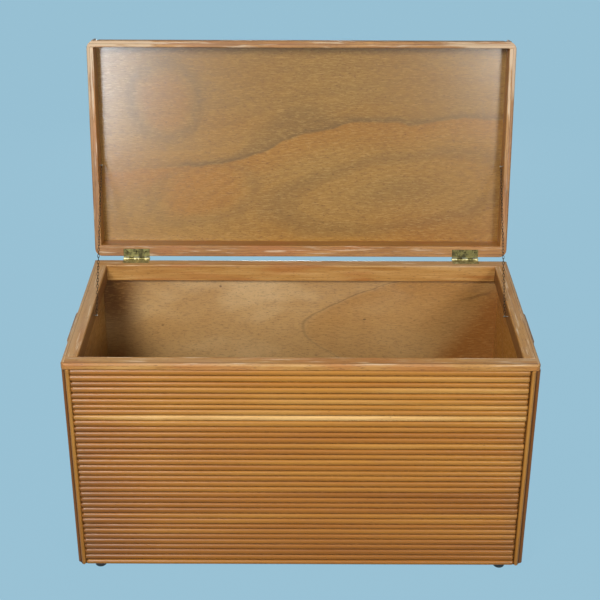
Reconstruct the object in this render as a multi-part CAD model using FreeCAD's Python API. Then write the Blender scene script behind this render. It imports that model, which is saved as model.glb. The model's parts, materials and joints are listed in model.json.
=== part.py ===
import FreeCAD, Part
import math
import os

# Lift-lid blanket chest: a plywood box and a shallow lid, framed in solid rails and clad
# in split rattan reeds. The lid stands open against two chain stays.
# Millimetres, +Z up, the front faces -Y. The origin is on the floor, in the middle of the
# footprint of the open chest. Lid pieces are drawn closed and then swung open.

# Box over its trims
box_width = 914.0
box_depth = 470.0
box_height = 476.0

# Panels, and the cleats that carry the bottom
panel_thick = 9.5
bottom_thick = 6.0
cleat_width = 25.0
cleat_height = 25.0

# Rebated top rails: the full thickness of the cap lies over the panel
top_rail_thick = 22.5
top_rail_height = 38.0
rail_cap_height = 18.0
rail_round = 2.0

# Cladding
reed_width = 12.86
reed_rise = 5.5
reed_gap = 0.2
reed_facets = 4
top_trim_height = 13.0
top_trim_thick = 6.5
top_trim_round = 4.0
top_corner_round = 10.0
trim_ease = 1.5
bottom_trim_height = 12.0
corner_trim_width = 10.5
corner_trim_rise = 6.4

# Lid
lid_overhang = 2.5
lid_gap = 1.0
lid_hollow = 46.0
lid_panel_thick = 4.0
lid_rail_thick = 8.0
lid_hinge_rail_thick = 18.5
lid_trim_height = 12.0
lid_trim_thick = 6.5
lid_trim_round = 2.5
lid_corner_round = 18.0
lid_open_degrees = 100.0

# Butt hinges
hinge_from_side = 92.0
hinge_setback = 5.0
leaf_length = 58.0
leaf_width = 22.0
leaf_thick = 2.0
leaf_fit = 0.2
barrel_diameter = 6.4
pin_diameter = 2.8
pin_clearance = 0.05
pin_proud = 0.8
knuckle_count = 5
knuckle_gap = 0.3
leaf_screw_from_end = 9.0
leaf_screw_from_edge = 6.0
leaf_screw_count = 3
leaf_screw_head_diameter = 5.6
leaf_screw_head_depth = 1.5
leaf_screw_diameter = 2.8
leaf_screw_length = 15.0

# Chain stays
chain_pitch = 7.3
chain_wire = 1.2
chain_play = 0.2
link_opening = 2.4
link_cut = 1.3
chain_box_setback = 232.0
chain_box_drop = 19.0
chain_box_standoff = 6.0
chain_lid_setback = 201.5
chain_lid_depth = 18.0
chain_lid_standoff = 4.5
chain_screw_diameter = 2.0
chain_screw_head_diameter = 4.8
chain_screw_head_height = 1.6
chain_screw_hold = 6.5

# Handles
handle_length = 140.0
handle_height = 36.0
handle_thick = 17.5
handle_drop = 36.0
handle_forward = 12.0
handle_end_slope = 12.0
handle_top_round = 6.0
handle_lip_round = 4.0
handle_slot_length = 84.0
handle_slot_width = 9.0
handle_slot_depth = 18.0
handle_slot_wall = 3.5
handle_slot_cut = 3.0
handle_screw_spacing = 112.0
handle_screw_diameter = 3.6
handle_screw_head_diameter = 7.2
handle_screw_head_height = 2.2
handle_screw_bite = 9.0

# Feet
foot_height = 12.0
foot_top_diameter = 27.0
foot_tread_diameter = 23.0
foot_from_side = 44.0
foot_from_front = 21.0
foot_recess_diameter = 9.0
foot_recess_depth = 5.0
foot_screw_diameter = 3.6
foot_screw_head_diameter = 7.6
foot_screw_head_height = 2.4
foot_screw_bite = 16.0

# Room round every screw, and how far a cutting shape runs past what it cuts
screw_clearance = 0.15
overrun = 2.0

# Flats that stand for a round: on a screw, on a foot, on a hinge barrel, on an eased edge and at the
# corner of a rim
screw_sides = 6
foot_sides = 12
barrel_sides = 12
bend_facets = 3
corner_facets = 5

# Directions
Vector = FreeCAD.Vector
rightward = Vector(1, 0, 0)
backward = Vector(0, 1, 0)
upward = Vector(0, 0, 1)

# How far back the open lid reaches: the top end of its border trims is the rearmost point
lid_lean = math.radians(lid_open_degrees) - math.pi / 2
lid_reach = hinge_setback + box_depth + lid_overhang - lid_trim_thick
lid_rise = lid_gap / 2 + lid_hollow + lid_panel_thick + reed_rise
open_depth = box_depth + hinge_setback + lid_reach * math.sin(lid_lean) + lid_rise * math.cos(lid_lean)

# Planes of the box
half_width = box_width / 2
carcass_x = half_width - top_trim_thick
panel_inner_x = carcass_x - panel_thick
rail_inner_x = carcass_x - top_rail_thick
front_y = -open_depth / 2
back_y = front_y + box_depth
handle_y = front_y + box_depth / 2 - handle_forward
carcass_front_y = front_y + top_trim_thick
carcass_back_y = back_y - top_trim_thick
panel_front_y = carcass_front_y + panel_thick
panel_back_y = carcass_back_y - panel_thick
base_z = foot_height
rim_z = base_z + box_height
panel_top_z = rim_z - rail_cap_height
trim_low_z = rim_z - top_trim_height
reeds_low_z = base_z + bottom_trim_height

# Planes of the closed lid, and the hinge line
lid_low_z = rim_z + lid_gap
lid_panel_z = lid_low_z + lid_hollow
lid_top_z = lid_panel_z + lid_panel_thick
lid_frame_x = half_width - lid_trim_thick
lid_rail_inner_x = lid_frame_x - lid_rail_thick
lid_frame_front_y = front_y - lid_overhang + lid_trim_thick
lid_frame_back_y = back_y - lid_trim_thick
lid_reeds_z = lid_low_z + lid_trim_height
lid_reed_span = lid_top_z - lid_reeds_z
hinge_y = back_y + hinge_setback
hinge_z = rim_z + lid_gap / 2

sides = (("left", -1), ("right", 1))
nodes = {}


def block(x_low, x_high, y_low, y_high, z_low, z_high):
    return Part.makeBox(x_high - x_low, y_high - y_low, z_high - z_low, Vector(x_low, y_low, z_low))


def rod(diameter, length, start, direction):
    return Part.makeCylinder(diameter / 2, length, start, direction)


def flat_face(points):
    return Part.Face(Part.makePolygon(points + points[:1]))


def eased_face(corners, radii, facets=bend_facets):
    """A flat face through the corners, each eased to its own radius; 0 leaves it sharp."""
    points = []
    for index, corner in enumerate(corners):
        radius = radii[index]
        if radius == 0:
            points.append(corner)
            continue
        to_last = (corners[index - 1] - corner).normalize()
        to_next = (corners[(index + 1) % len(corners)] - corner).normalize()
        half_angle = to_last.getAngle(to_next) / 2
        run = radius / math.tan(half_angle)
        centre = corner + (to_last + to_next).normalize() * (radius / math.sin(half_angle))
        first = corner + to_last * run - centre
        last = corner + to_next * run - centre
        turn = first.getAngle(last)
        for step in range(facets + 1):
            swept = turn * step / facets
            spoke = first * math.sin(turn - swept) + last * math.sin(swept)
            points.append(centre + spoke * (1 / math.sin(turn)))
    return flat_face(points)


def ring(centre, axis, diameter, flats):
    """Points of a regular outline round an axis, with its corners on the diameter."""
    reference = upward if abs(axis.dot(backward)) > abs(axis.dot(upward)) else backward
    aside = axis.cross(reference).normalize()
    square = axis.cross(aside)
    points = []
    for index in range(flats):
        angle = math.tau * index / flats
        points.append(centre + (aside * math.cos(angle) + square * math.sin(angle)) * (diameter / 2))
    return points


def flat_sided(stations, axis, flats):
    """A solid with flat sides through rings, each given as (centre, diameter)."""
    rings = [ring(centre, axis, diameter, flats) for centre, diameter in stations]
    faces = [flat_face(rings[0]), flat_face(rings[-1])]
    for first, second in zip(rings, rings[1:]):
        for index in range(flats):
            faces.append(flat_face([first[index - 1], first[index], second[index], second[index - 1]]))
    solid = Part.makeSolid(Part.makeShell(faces))
    return solid if solid.Volume > 0 else solid.reversed()


def swing_open(shape):
    """Turn a lid piece from closed to the open pose, about the hinge line."""
    return shape.rotated(Vector(0, hinge_y, hinge_z), rightward, -lid_open_degrees)


def keep(name, shapes):
    """Store one node, as a single solid or as a group of separate solids."""
    nodes[name] = shapes[0] if len(shapes) == 1 else Part.makeCompound(shapes)


def keep_lid(name, shapes):
    keep(name, [swing_open(shape) for shape in shapes])


def half_round(start, along, aside, outward, width, rise):
    """A half-round strip whose flat back is centred on the line from start."""
    radius = (width * width / 4 + rise * rise) / (rise * 2)
    half_angle = math.atan2(width / 2, radius - rise)
    centre = start + outward * (rise - radius)
    points = []
    for step in range(reed_facets + 1):
        angle = half_angle * (step * 2 / reed_facets - 1)
        points.append(centre + (aside * math.sin(angle) + outward * math.cos(angle)) * radius)
    return flat_face(points).extrude(along)


def reed_row(first_edge, along, step, span, outward):
    """Reeds side by side over a span, each as wide as its share of it less the gap."""
    count = max(1, round(span / reed_width))
    pitch = span / count
    reeds = []
    for index in range(count):
        centre = first_edge + step * (pitch * index + pitch / 2)
        reeds.append(half_round(centre, along, step, outward, pitch - reed_gap, reed_rise))
    return reeds


def cut_all(shapes, cutters):
    """Each shape less every cutter that reaches into it."""
    results = []
    for shape in shapes:
        for cutter in cutters:
            if shape.BoundBox.intersect(cutter.BoundBox):
                shape = shape.cut(cutter)
        results.append(shape)
    return results


def flat_head_screw(seat, into):
    """A hinge screw whose countersunk head ends flush with the seat."""
    return flat_sided(((seat, leaf_screw_head_diameter),
                       (seat + into * leaf_screw_head_depth, leaf_screw_diameter),
                       (seat + into * leaf_screw_length, leaf_screw_diameter)), into, screw_sides)


def flat_head_hole(seat, into):
    """Room for a hinge screw: its countersink and its pilot hole."""
    head = leaf_screw_head_diameter + screw_clearance * 2
    shank = leaf_screw_diameter + screw_clearance * 2
    return flat_sided(((seat, head), (seat + into * leaf_screw_head_depth, shank),
                       (seat + into * (leaf_screw_length + screw_clearance), shank)), into, screw_sides)


def pan_head_screw(seat, into, diameter, length, head_diameter, head_height):
    """A screw whose head stands proud of its seat."""
    head = flat_sided(((seat - into * head_height, head_diameter), (seat, head_diameter)), into, screw_sides)
    shank = flat_sided(((seat, diameter), (seat + into * length, diameter)), into, screw_sides)
    return head.fuse(shank)


def pilot_hole(seat, into, diameter, length):
    bored = diameter + screw_clearance * 2
    return flat_sided(((seat, bored), (seat + into * (length + screw_clearance), bored)), into, screw_sides)


# Hinge, chain, handle and foot screws come first, because the wood is drilled for them
hinge_xs = [side * (half_width - hinge_from_side) for name, side in sides]
leaf_edge_y = hinge_y - leaf_width
leaf_screw_y = leaf_edge_y + leaf_screw_from_edge
leaf_screw_step = (leaf_length - leaf_screw_from_end * 2) / (leaf_screw_count - 1)
leaf_screw_xs = []
for hinge_x in hinge_xs:
    for index in range(leaf_screw_count):
        leaf_screw_xs.append(hinge_x - leaf_length / 2 + leaf_screw_from_end + leaf_screw_step * index)
box_leaf_seats = [Vector(x, leaf_screw_y, rim_z) for x in leaf_screw_xs]
lid_leaf_seats = [Vector(x, leaf_screw_y, lid_low_z) for x in leaf_screw_xs]
box_leaf_holes = [flat_head_hole(seat, -upward) for seat in box_leaf_seats]
lid_leaf_holes = [flat_head_hole(seat, upward) for seat in lid_leaf_seats]
keep("box_leaf_screws", [flat_head_screw(seat, -upward) for seat in box_leaf_seats])
keep_lid("lid_leaf_screws", [flat_head_screw(seat, upward) for seat in lid_leaf_seats])

chain_box_y = back_y - chain_box_setback
chain_box_z = rim_z - chain_box_drop
chain_lid_y = back_y - chain_lid_setback
chain_lid_z = lid_low_z + chain_lid_depth
box_chain_screws = []
lid_chain_screws = []
box_chain_holes = []
lid_chain_holes = []
chain_head_room = chain_wire / 2 + chain_play * 2
for name, side in sides:
    outward = rightward * side
    box_grip = chain_box_standoff + chain_head_room
    box_seat = Vector(side * (rail_inner_x - box_grip), chain_box_y, chain_box_z)
    box_chain_screws.append(pan_head_screw(
        box_seat, outward, chain_screw_diameter, box_grip + chain_screw_hold,
        chain_screw_head_diameter, chain_screw_head_height))
    box_chain_holes.append(pilot_hole(box_seat, outward, chain_screw_diameter, box_grip + chain_screw_hold))
    lid_grip = chain_lid_standoff + chain_head_room
    lid_seat = Vector(side * (lid_rail_inner_x - lid_grip), chain_lid_y, chain_lid_z)
    lid_chain_screws.append(pan_head_screw(
        lid_seat, outward, chain_screw_diameter, lid_grip + chain_screw_hold,
        chain_screw_head_diameter, chain_screw_head_height))
    lid_chain_holes.append(pilot_hole(lid_seat, outward, chain_screw_diameter, lid_grip + chain_screw_hold))
keep("box_chain_screws", box_chain_screws)
keep_lid("lid_chain_screws", lid_chain_screws)

handle_seat_x = carcass_x + reed_rise
handle_low_z = rim_z - handle_drop - handle_height
handle_screw_length = panel_thick + reed_rise + handle_screw_bite
handle_screws = []
handle_holes = []
for name, side in sides:
    outward = rightward * side
    for end in (-1, 1):
        seat = Vector(side * panel_inner_x, handle_y + end * handle_screw_spacing / 2,
                      handle_low_z + handle_height / 2)
        handle_screws.append(pan_head_screw(
            seat, outward, handle_screw_diameter, handle_screw_length,
            handle_screw_head_diameter, handle_screw_head_height))
        handle_holes.append(pilot_hole(seat, outward, handle_screw_diameter, handle_screw_length))
keep("handle_screws", handle_screws)

foot_spots = []
for name, side in sides:
    for foot_y in (front_y + foot_from_front, back_y - foot_from_front):
        foot_spots.append(Vector(side * (half_width - foot_from_side), foot_y, 0))
foot_screw_length = foot_height - foot_recess_depth + foot_screw_bite
foot_seats = [spot + upward * foot_recess_depth for spot in foot_spots]
foot_holes = [pilot_hole(seat, upward, foot_screw_diameter, foot_screw_length) for seat in foot_seats]
keep("foot_screws", [pan_head_screw(seat, upward, foot_screw_diameter, foot_screw_length,
                                    foot_screw_head_diameter, foot_screw_head_height)
                     for seat in foot_seats])

# Feet: tapered bumpers with a recess for the screw's head
feet = []
for spot in foot_spots:
    foot = flat_sided(((spot, foot_tread_diameter), (spot + upward * foot_height, foot_top_diameter)),
                      upward, foot_sides)
    recess = flat_sided(((spot - upward * overrun, foot_recess_diameter),
                         (spot + upward * foot_recess_depth, foot_recess_diameter)), upward, screw_sides)
    feet.append(foot.cut(recess))
keep("feet", cut_all(feet, foot_holes))

# Panels: the front and back lap the ends of the sides, and the bottom lies inside on its cleats
keep("front_panel", [block(-carcass_x, carcass_x, carcass_front_y, panel_front_y, base_z, panel_top_z)])
keep("back_panel", [block(-carcass_x, carcass_x, panel_back_y, carcass_back_y, base_z, panel_top_z)])
for name, side in sides:
    faces = sorted((side * carcass_x, side * panel_inner_x))
    panel = block(faces[0], faces[1], panel_front_y, panel_back_y, base_z, panel_top_z)
    keep(name + "_panel", cut_all([panel], handle_holes))
bottom_z = base_z + cleat_height
keep("bottom_panel", [block(-panel_inner_x, panel_inner_x, panel_front_y, panel_back_y,
                            bottom_z, bottom_z + bottom_thick)])

# Cleats
cleat_front_y = panel_front_y + cleat_width
cleat_back_y = panel_back_y - cleat_width
front_cleat = block(-panel_inner_x, panel_inner_x, panel_front_y, cleat_front_y, base_z, bottom_z)
back_cleat = block(-panel_inner_x, panel_inner_x, cleat_back_y, panel_back_y, base_z, bottom_z)
keep("front_cleat", cut_all([front_cleat], foot_holes))
keep("back_cleat", cut_all([back_cleat], foot_holes))
for name, side in sides:
    faces = sorted((side * panel_inner_x, side * (panel_inner_x - cleat_width)))
    keep(name + "_cleat", [block(faces[0], faces[1], cleat_front_y, cleat_back_y, base_z, bottom_z)])


def top_rail(start, along, inward):
    """A rebated rail: start is on its outer face, at the rim, and its leg stands inside the panel."""
    profile = ((0, rail_cap_height), (0, 0), (top_rail_thick, 0), (top_rail_thick, top_rail_height),
               (panel_thick, top_rail_height), (panel_thick, rail_cap_height))
    corners = [start + inward * depth - upward * drop for depth, drop in profile]
    return eased_face(corners, (0, 0, rail_round, rail_round, 0, 0)).extrude(along)


def hinge_pocket(hinge_x, z_low, z_high):
    """The mortise for one leaf, open towards the back."""
    reach = leaf_length / 2 + leaf_fit
    return block(hinge_x - reach, hinge_x + reach, leaf_edge_y - leaf_fit, back_y + overrun, z_low, z_high)


# Top rails: the front and back run through, with legs that stop at the side panels, and the
# sides stand between them
box_pockets = [hinge_pocket(x, rim_z - leaf_thick, rim_z + overrun) for x in hinge_xs]
through_rail = rightward * (carcass_x * 2)
front_rail = top_rail(Vector(-carcass_x, carcass_front_y, rim_z), through_rail, backward)
back_rail = top_rail(Vector(-carcass_x, carcass_back_y, rim_z), through_rail, -backward)
leg_low_z = rim_z - top_rail_height - overrun
leg_stops = []
for name, side in sides:
    faces = sorted((side * panel_inner_x, side * (carcass_x + overrun)))
    leg_stops.append(block(faces[0], faces[1], front_y, back_y, leg_low_z, panel_top_z))
keep("front_top_rail", cut_all([front_rail], leg_stops))
keep("back_top_rail", cut_all([back_rail], leg_stops + box_pockets + box_leaf_holes))
side_rail_y = carcass_front_y + top_rail_thick
side_rail_run = backward * (carcass_back_y - top_rail_thick - side_rail_y)
for name, side in sides:
    rail = top_rail(Vector(side * carcass_x, side_rail_y, rim_z), side_rail_run, rightward * -side)
    keep(name + "_top_rail", cut_all([rail], box_chain_holes))


def rim_trim(start, along, outward, away, thick, height, edge_round):
    """A flat strip round a rim: start is its inner edge at the rim, and away leads from the rim."""
    profile = ((0, 0), (thick, 0), (thick, height), (0, height))
    corners = [start + outward * out + away * drop for out, drop in profile]
    return eased_face(corners, (0, edge_round, trim_ease, 0)).extrude(along)


def top_trim(start, along, outward):
    return rim_trim(start, along, outward, -upward, top_trim_thick, top_trim_height, top_trim_round)


def lid_trim(start, along, outward):
    return rim_trim(start, along, outward, upward, lid_trim_thick, lid_trim_height, lid_trim_round)


def rim_outline(rim_front_y, low_z, height, corner_round):
    """All that lies within a rim, with its four upright corners rounded."""
    plan = ((-half_width, rim_front_y), (half_width, rim_front_y), (half_width, back_y),
            (-half_width, back_y))
    corners = [Vector(x, y, low_z) for x, y in plan]
    return eased_face(corners, (corner_round,) * len(plan), corner_facets).extrude(upward * height)


# Top trims: the front and back run past the ends of the side ones
through_trim = rightward * box_width
top_outline = rim_outline(front_y, trim_low_z, top_trim_height, top_corner_round)
front_trim = top_trim(Vector(-half_width, carcass_front_y, rim_z), through_trim, -backward)
back_trim = top_trim(Vector(-half_width, carcass_back_y, rim_z), through_trim, backward)
keep("front_top_trim", [front_trim.common(top_outline)])
keep("back_top_trim", cut_all([back_trim.common(top_outline)], box_pockets))
side_trim_run = backward * (carcass_back_y - carcass_front_y)
for name, side in sides:
    start = Vector(side * carcass_x, carcass_front_y, rim_z)
    trim = top_trim(start, side_trim_run, rightward * side)
    keep(name + "_top_trim", [trim.common(top_outline)])

# Corner trims: one half-round strip on each face of a corner, stopped under the top trim
corner_run = upward * (trim_low_z - base_z)
corner_inset = corner_trim_width / 2
long_faces = (("front", carcass_front_y, -backward), ("back", carcass_back_y, backward))
for end_name, corner_y, outward in long_faces:
    for side_name, side in sides:
        face_foot = Vector(side * (carcass_x - corner_inset), corner_y, base_z)
        side_foot = Vector(side * carcass_x, corner_y, base_z) - outward * corner_inset
        on_face = half_round(face_foot, corner_run, rightward, outward, corner_trim_width, corner_trim_rise)
        on_side = half_round(side_foot, corner_run, backward, rightward * side, corner_trim_width,
                             corner_trim_rise)
        keep(end_name + "_" + side_name + "_corner_trim", [on_face, on_side])

# Reeds and bottom trims, between the corner trims
clad_x = carcass_x - corner_trim_width - reed_gap
clad_front_y = carcass_front_y + corner_trim_width + reed_gap
clad_back_y = carcass_back_y - corner_trim_width - reed_gap
reed_span = trim_low_z - reeds_low_z
face_run = rightward * (clad_x * 2)
bottom_trim_z = base_z + bottom_trim_height / 2
for name, face_y, outward in long_faces:
    first = Vector(-clad_x, face_y, reeds_low_z)
    keep(name + "_reeds", reed_row(first, face_run, upward, reed_span, outward))
    foot_line = Vector(-clad_x, face_y, bottom_trim_z)
    keep(name + "_bottom_trim", [half_round(foot_line, face_run, upward, outward,
                                            bottom_trim_height - reed_gap, reed_rise)])
side_run = backward * (clad_back_y - clad_front_y)
for name, side in sides:
    outward = rightward * side
    first = Vector(side * carcass_x, clad_front_y, reeds_low_z)
    reeds = reed_row(first, side_run, upward, reed_span, outward)
    keep(name + "_reeds", cut_all(reeds, handle_holes))
    foot_line = Vector(side * carcass_x, clad_front_y, bottom_trim_z)
    keep(name + "_bottom_trim", [half_round(foot_line, side_run, upward, outward,
                                            bottom_trim_height - reed_gap, reed_rise)])


def octagon(centre, along, aside, half_length, half_width, cut):
    """A flat face: a long rectangle with its four corners cut."""
    near = half_length - cut
    flat = half_width - cut
    outline = ((half_length, -flat), (half_length, flat), (near, half_width), (-near, half_width),
               (-half_length, flat), (-half_length, -flat), (-near, -half_width), (near, -half_width))
    return flat_face([centre + along * run + aside * out for run, out in outline])


def handle(side):
    """A cleat with sloped ends, a rounded top and a slot underneath for the fingers."""
    outward = rightward * side
    foot = Vector(side * handle_seat_x, handle_y - handle_length / 2, handle_low_z)
    section = ((0, 0), (handle_thick, 0), (handle_thick, handle_height), (0, handle_height))
    corners = [foot + outward * out + upward * rise for out, rise in section]
    bar = eased_face(corners, (0, handle_lip_round, handle_top_round, 0)).extrude(backward * handle_length)
    plan = ((0, 0), (handle_thick, handle_end_slope), (handle_thick, handle_length - handle_end_slope),
            (0, handle_length))
    corners = [foot + outward * out + backward * run for out, run in plan]
    ends = eased_face(corners, (0, handle_lip_round, handle_lip_round, 0)).extrude(upward * handle_height)
    slot_x = side * (handle_seat_x + handle_slot_wall + handle_slot_width / 2)
    slot_foot = Vector(slot_x, handle_y, handle_low_z - overrun)
    slot = octagon(slot_foot, backward, rightward, handle_slot_length / 2, handle_slot_width / 2,
                   handle_slot_cut).extrude(upward * (handle_slot_depth + overrun))
    return bar.common(ends).cut(slot)


for name, side in sides:
    keep(name + "_handle", cut_all([handle(side)], handle_holes))


def hinge_leaf(hinge_x, own_turn):
    """The box leaf of a hinge, with the knuckles whose place is of its own turn, 0 or 1."""
    left_x = hinge_x - leaf_length / 2
    leaf = block(left_x, left_x + leaf_length, leaf_edge_y, hinge_y, rim_z - leaf_thick, rim_z)
    knuckle = (leaf_length - knuckle_gap * (knuckle_count - 1)) / knuckle_count
    reach = barrel_diameter / 2 + knuckle_gap
    for index in range(knuckle_count):
        start = Vector(left_x + (knuckle + knuckle_gap) * index, hinge_y, hinge_z)
        finish = start + rightward * knuckle
        if index % 2 == own_turn:
            stations = ((start, barrel_diameter), (finish, barrel_diameter))
            leaf = leaf.fuse(flat_sided(stations, rightward, barrel_sides))
        else:
            leaf = leaf.cut(block(start.x - knuckle_gap, finish.x + knuckle_gap, hinge_y - reach,
                                  hinge_y + reach, hinge_z - reach, hinge_z + reach))
    bore_start = Vector(left_x - overrun, hinge_y, hinge_z)
    bore = rod(pin_diameter + pin_clearance * 2, leaf_length + overrun * 2, bore_start, rightward)
    return leaf.removeSplitter().cut(bore)


def hinge_pin(hinge_x):
    """The pin, with ends that stand a little out of the knuckles."""
    start = Vector(hinge_x - leaf_length / 2 - pin_proud, hinge_y, hinge_z)
    return rod(pin_diameter, leaf_length + pin_proud * 2, start, rightward)


for (name, side), hinge_x in zip(sides, hinge_xs):
    keep(name + "_box_leaf", cut_all([hinge_leaf(hinge_x, 0)], box_leaf_holes))
    mirrored = hinge_leaf(hinge_x, 1).mirror(Vector(0, 0, hinge_z), upward)
    keep_lid(name + "_lid_leaf", cut_all([mirrored], lid_leaf_holes))
    keep(name + "_hinge_pin", [hinge_pin(hinge_x)])


def lid_rail(start, along, inward, thick):
    """A lid rail: start is the outer edge of its rim face."""
    profile = ((0, 0), (thick, 0), (thick, lid_hollow), (0, lid_hollow))
    corners = [start + inward * depth + upward * height for depth, height in profile]
    return eased_face(corners, (0, rail_round, 0, 0)).extrude(along)


# Lid panel and rails: the front and hinge rails run through, the sides stand between them
keep_lid("lid_panel", [block(-lid_frame_x, lid_frame_x, lid_frame_front_y, lid_frame_back_y,
                             lid_panel_z, lid_top_z)])
lid_pockets = [hinge_pocket(x, lid_low_z - overrun, lid_low_z + leaf_thick) for x in hinge_xs]
lid_through = rightward * (lid_frame_x * 2)
lid_front_rail = lid_rail(Vector(-lid_frame_x, lid_frame_front_y, lid_low_z), lid_through, backward,
                          lid_rail_thick)
lid_back_rail = lid_rail(Vector(-lid_frame_x, lid_frame_back_y, lid_low_z), lid_through, -backward,
                         lid_hinge_rail_thick)
keep_lid("lid_front_rail", [lid_front_rail])
keep_lid("lid_back_rail", cut_all([lid_back_rail], lid_pockets + lid_leaf_holes))
lid_side_y = lid_frame_front_y + lid_rail_thick
lid_side_run = backward * (lid_frame_back_y - lid_hinge_rail_thick - lid_side_y)
for name, side in sides:
    rail = lid_rail(Vector(side * lid_frame_x, lid_side_y, lid_low_z), lid_side_run, rightward * -side,
                    lid_rail_thick)
    keep_lid("lid_" + name + "_rail", cut_all([rail], lid_chain_holes))

# Lid rim trims: the front and hinge ones run past the ends of the side ones
lid_outline = rim_outline(front_y - lid_overhang, lid_low_z, lid_trim_height, lid_corner_round)
lid_back_start = Vector(-half_width, lid_frame_back_y, lid_low_z)
lid_trims = [lid_trim(Vector(-half_width, lid_frame_front_y, lid_low_z), through_trim, -backward)]
lid_trims += cut_all([lid_trim(lid_back_start, through_trim, backward)], lid_pockets)
lid_depth_run = backward * (lid_frame_back_y - lid_frame_front_y)
for name, side in sides:
    start = Vector(side * lid_frame_x, lid_frame_front_y, lid_low_z)
    lid_trims.append(lid_trim(start, lid_depth_run, rightward * side))
keep_lid("lid_rim_trims", [trim.common(lid_outline) for trim in lid_trims])

# Lid corner trims on its edges, and border trims along the two ends of its top
lid_corners = []
lid_corner_run = upward * lid_reed_span
for corner_y, outward in ((lid_frame_front_y, -backward), (lid_frame_back_y, backward)):
    for name, side in sides:
        face_foot = Vector(side * (lid_frame_x - corner_inset), corner_y, lid_reeds_z)
        side_foot = Vector(side * lid_frame_x, corner_y, lid_reeds_z) - outward * corner_inset
        lid_corners.append(half_round(face_foot, lid_corner_run, rightward, outward,
                                      corner_trim_width, corner_trim_rise))
        lid_corners.append(half_round(side_foot, lid_corner_run, backward, rightward * side,
                                      corner_trim_width, corner_trim_rise))
keep_lid("lid_corner_trims", lid_corners)
lid_borders = []
for name, side in sides:
    start = Vector(side * (lid_frame_x - corner_inset), lid_frame_front_y, lid_top_z)
    lid_borders.append(half_round(start, lid_depth_run, rightward, upward, corner_trim_width, reed_rise))
keep_lid("lid_border_trims", lid_borders)

# Lid reeds: along the top, and round the four edges above the rim trims
lid_clad_x = lid_frame_x - corner_trim_width - reed_gap
lid_clad_front_y = lid_frame_front_y + corner_trim_width + reed_gap
lid_clad_back_y = lid_frame_back_y - corner_trim_width - reed_gap
lid_face_run = rightward * (lid_clad_x * 2)
lid_side_reed_run = backward * (lid_clad_back_y - lid_clad_front_y)
keep_lid("lid_top_reeds", reed_row(Vector(-lid_clad_x, lid_frame_front_y, lid_top_z), lid_face_run, backward,
                                   lid_depth_run.Length, upward))
for name, face_y, outward in (("front", lid_frame_front_y, -backward), ("back", lid_frame_back_y, backward)):
    first = Vector(-lid_clad_x, face_y, lid_reeds_z)
    keep_lid("lid_" + name + "_reeds", reed_row(first, lid_face_run, upward, lid_reed_span, outward))
for name, side in sides:
    first = Vector(side * lid_frame_x, lid_clad_front_y, lid_reeds_z)
    keep_lid("lid_" + name + "_reeds", reed_row(first, lid_side_reed_run, upward, lid_reed_span,
                                                rightward * side))


def chain_link(centre, along, aside, normal, inner_length):
    """One link: a flat ring of square wire."""
    low = centre - normal * (chain_wire / 2)
    wire = normal * chain_wire
    reach = inner_length / 2
    gape = link_opening / 2
    outer = octagon(low, along, aside, reach + chain_wire, gape + chain_wire, link_cut)
    opening = flat_face([low + along * (reach * run) + aside * (gape * out)
                         for run, out in ((-1, -1), (1, -1), (1, 1), (-1, 1))])
    return outer.cut(opening).Faces[0].extrude(wire)


def chain(start, finish):
    """Interlocked links drawn straight between two screws, every other one turned square.

    The count is odd, so that both end links lie flat on their screws.
    """
    along = (finish - start).normalize()
    span = (finish - start).Length
    count = 2 * round(span / chain_pitch / 2) + 1
    pitch = (span + chain_screw_diameter + chain_play) / count
    inner_length = pitch + chain_play
    first = inner_length / 2 - chain_screw_diameter / 2 - chain_play
    normal = (rightward - along * along.dot(rightward)).normalize()
    aside = normal.cross(along)
    links = []
    for index in range(count):
        centre = start + along * (first + pitch * index)
        if index % 2 == 0:
            links.append(chain_link(centre, along, aside, normal, inner_length))
        else:
            links.append(chain_link(centre, along, normal, aside, inner_length))
    return links


hinge_point = Vector(0, hinge_y, hinge_z)
open_turn = FreeCAD.Rotation(rightward, -lid_open_degrees)
for name, side in sides:
    box_end = Vector(side * (rail_inner_x - chain_box_standoff), chain_box_y, chain_box_z)
    lid_end_closed = Vector(side * (lid_rail_inner_x - chain_lid_standoff), chain_lid_y, chain_lid_z)
    lid_end = hinge_point + open_turn.multVec(lid_end_closed - hinge_point)
    keep(name + "_chain", chain(box_end, lid_end))

os.makedirs("parts", exist_ok=True)
for name, shape in nodes.items():
    shape.exportStep("parts/" + name + ".step")
print(len(nodes), "nodes,", sum(len(shape.Solids) for shape in nodes.values()), "solids")
print("hinge line at y", round(hinge_y, 3), "z", round(hinge_z, 3))
print("front", round(front_y, 3), "back", round(back_y, 3), "rim", round(rim_z, 3))
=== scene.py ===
# %% [markdown]
# # A blanket chest clad in split reeds
# The chest is a plywood box with a shallow lid, framed in solid rails. Its outside is covered with
# half-round rattan reeds, and the lid stands open against two fine chains. The solid parts arrive from
# the CAD model, which fixes every size and place. This lesson gives them their finishes, and models again
# the pieces whose roundness the CAD keeps coarse: reeds, trims, handles, feet, screws and chains.

# %% Load the frame
import json
import math
import random

import bmesh
import bpy
from mathutils import Matrix, Vector


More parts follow.
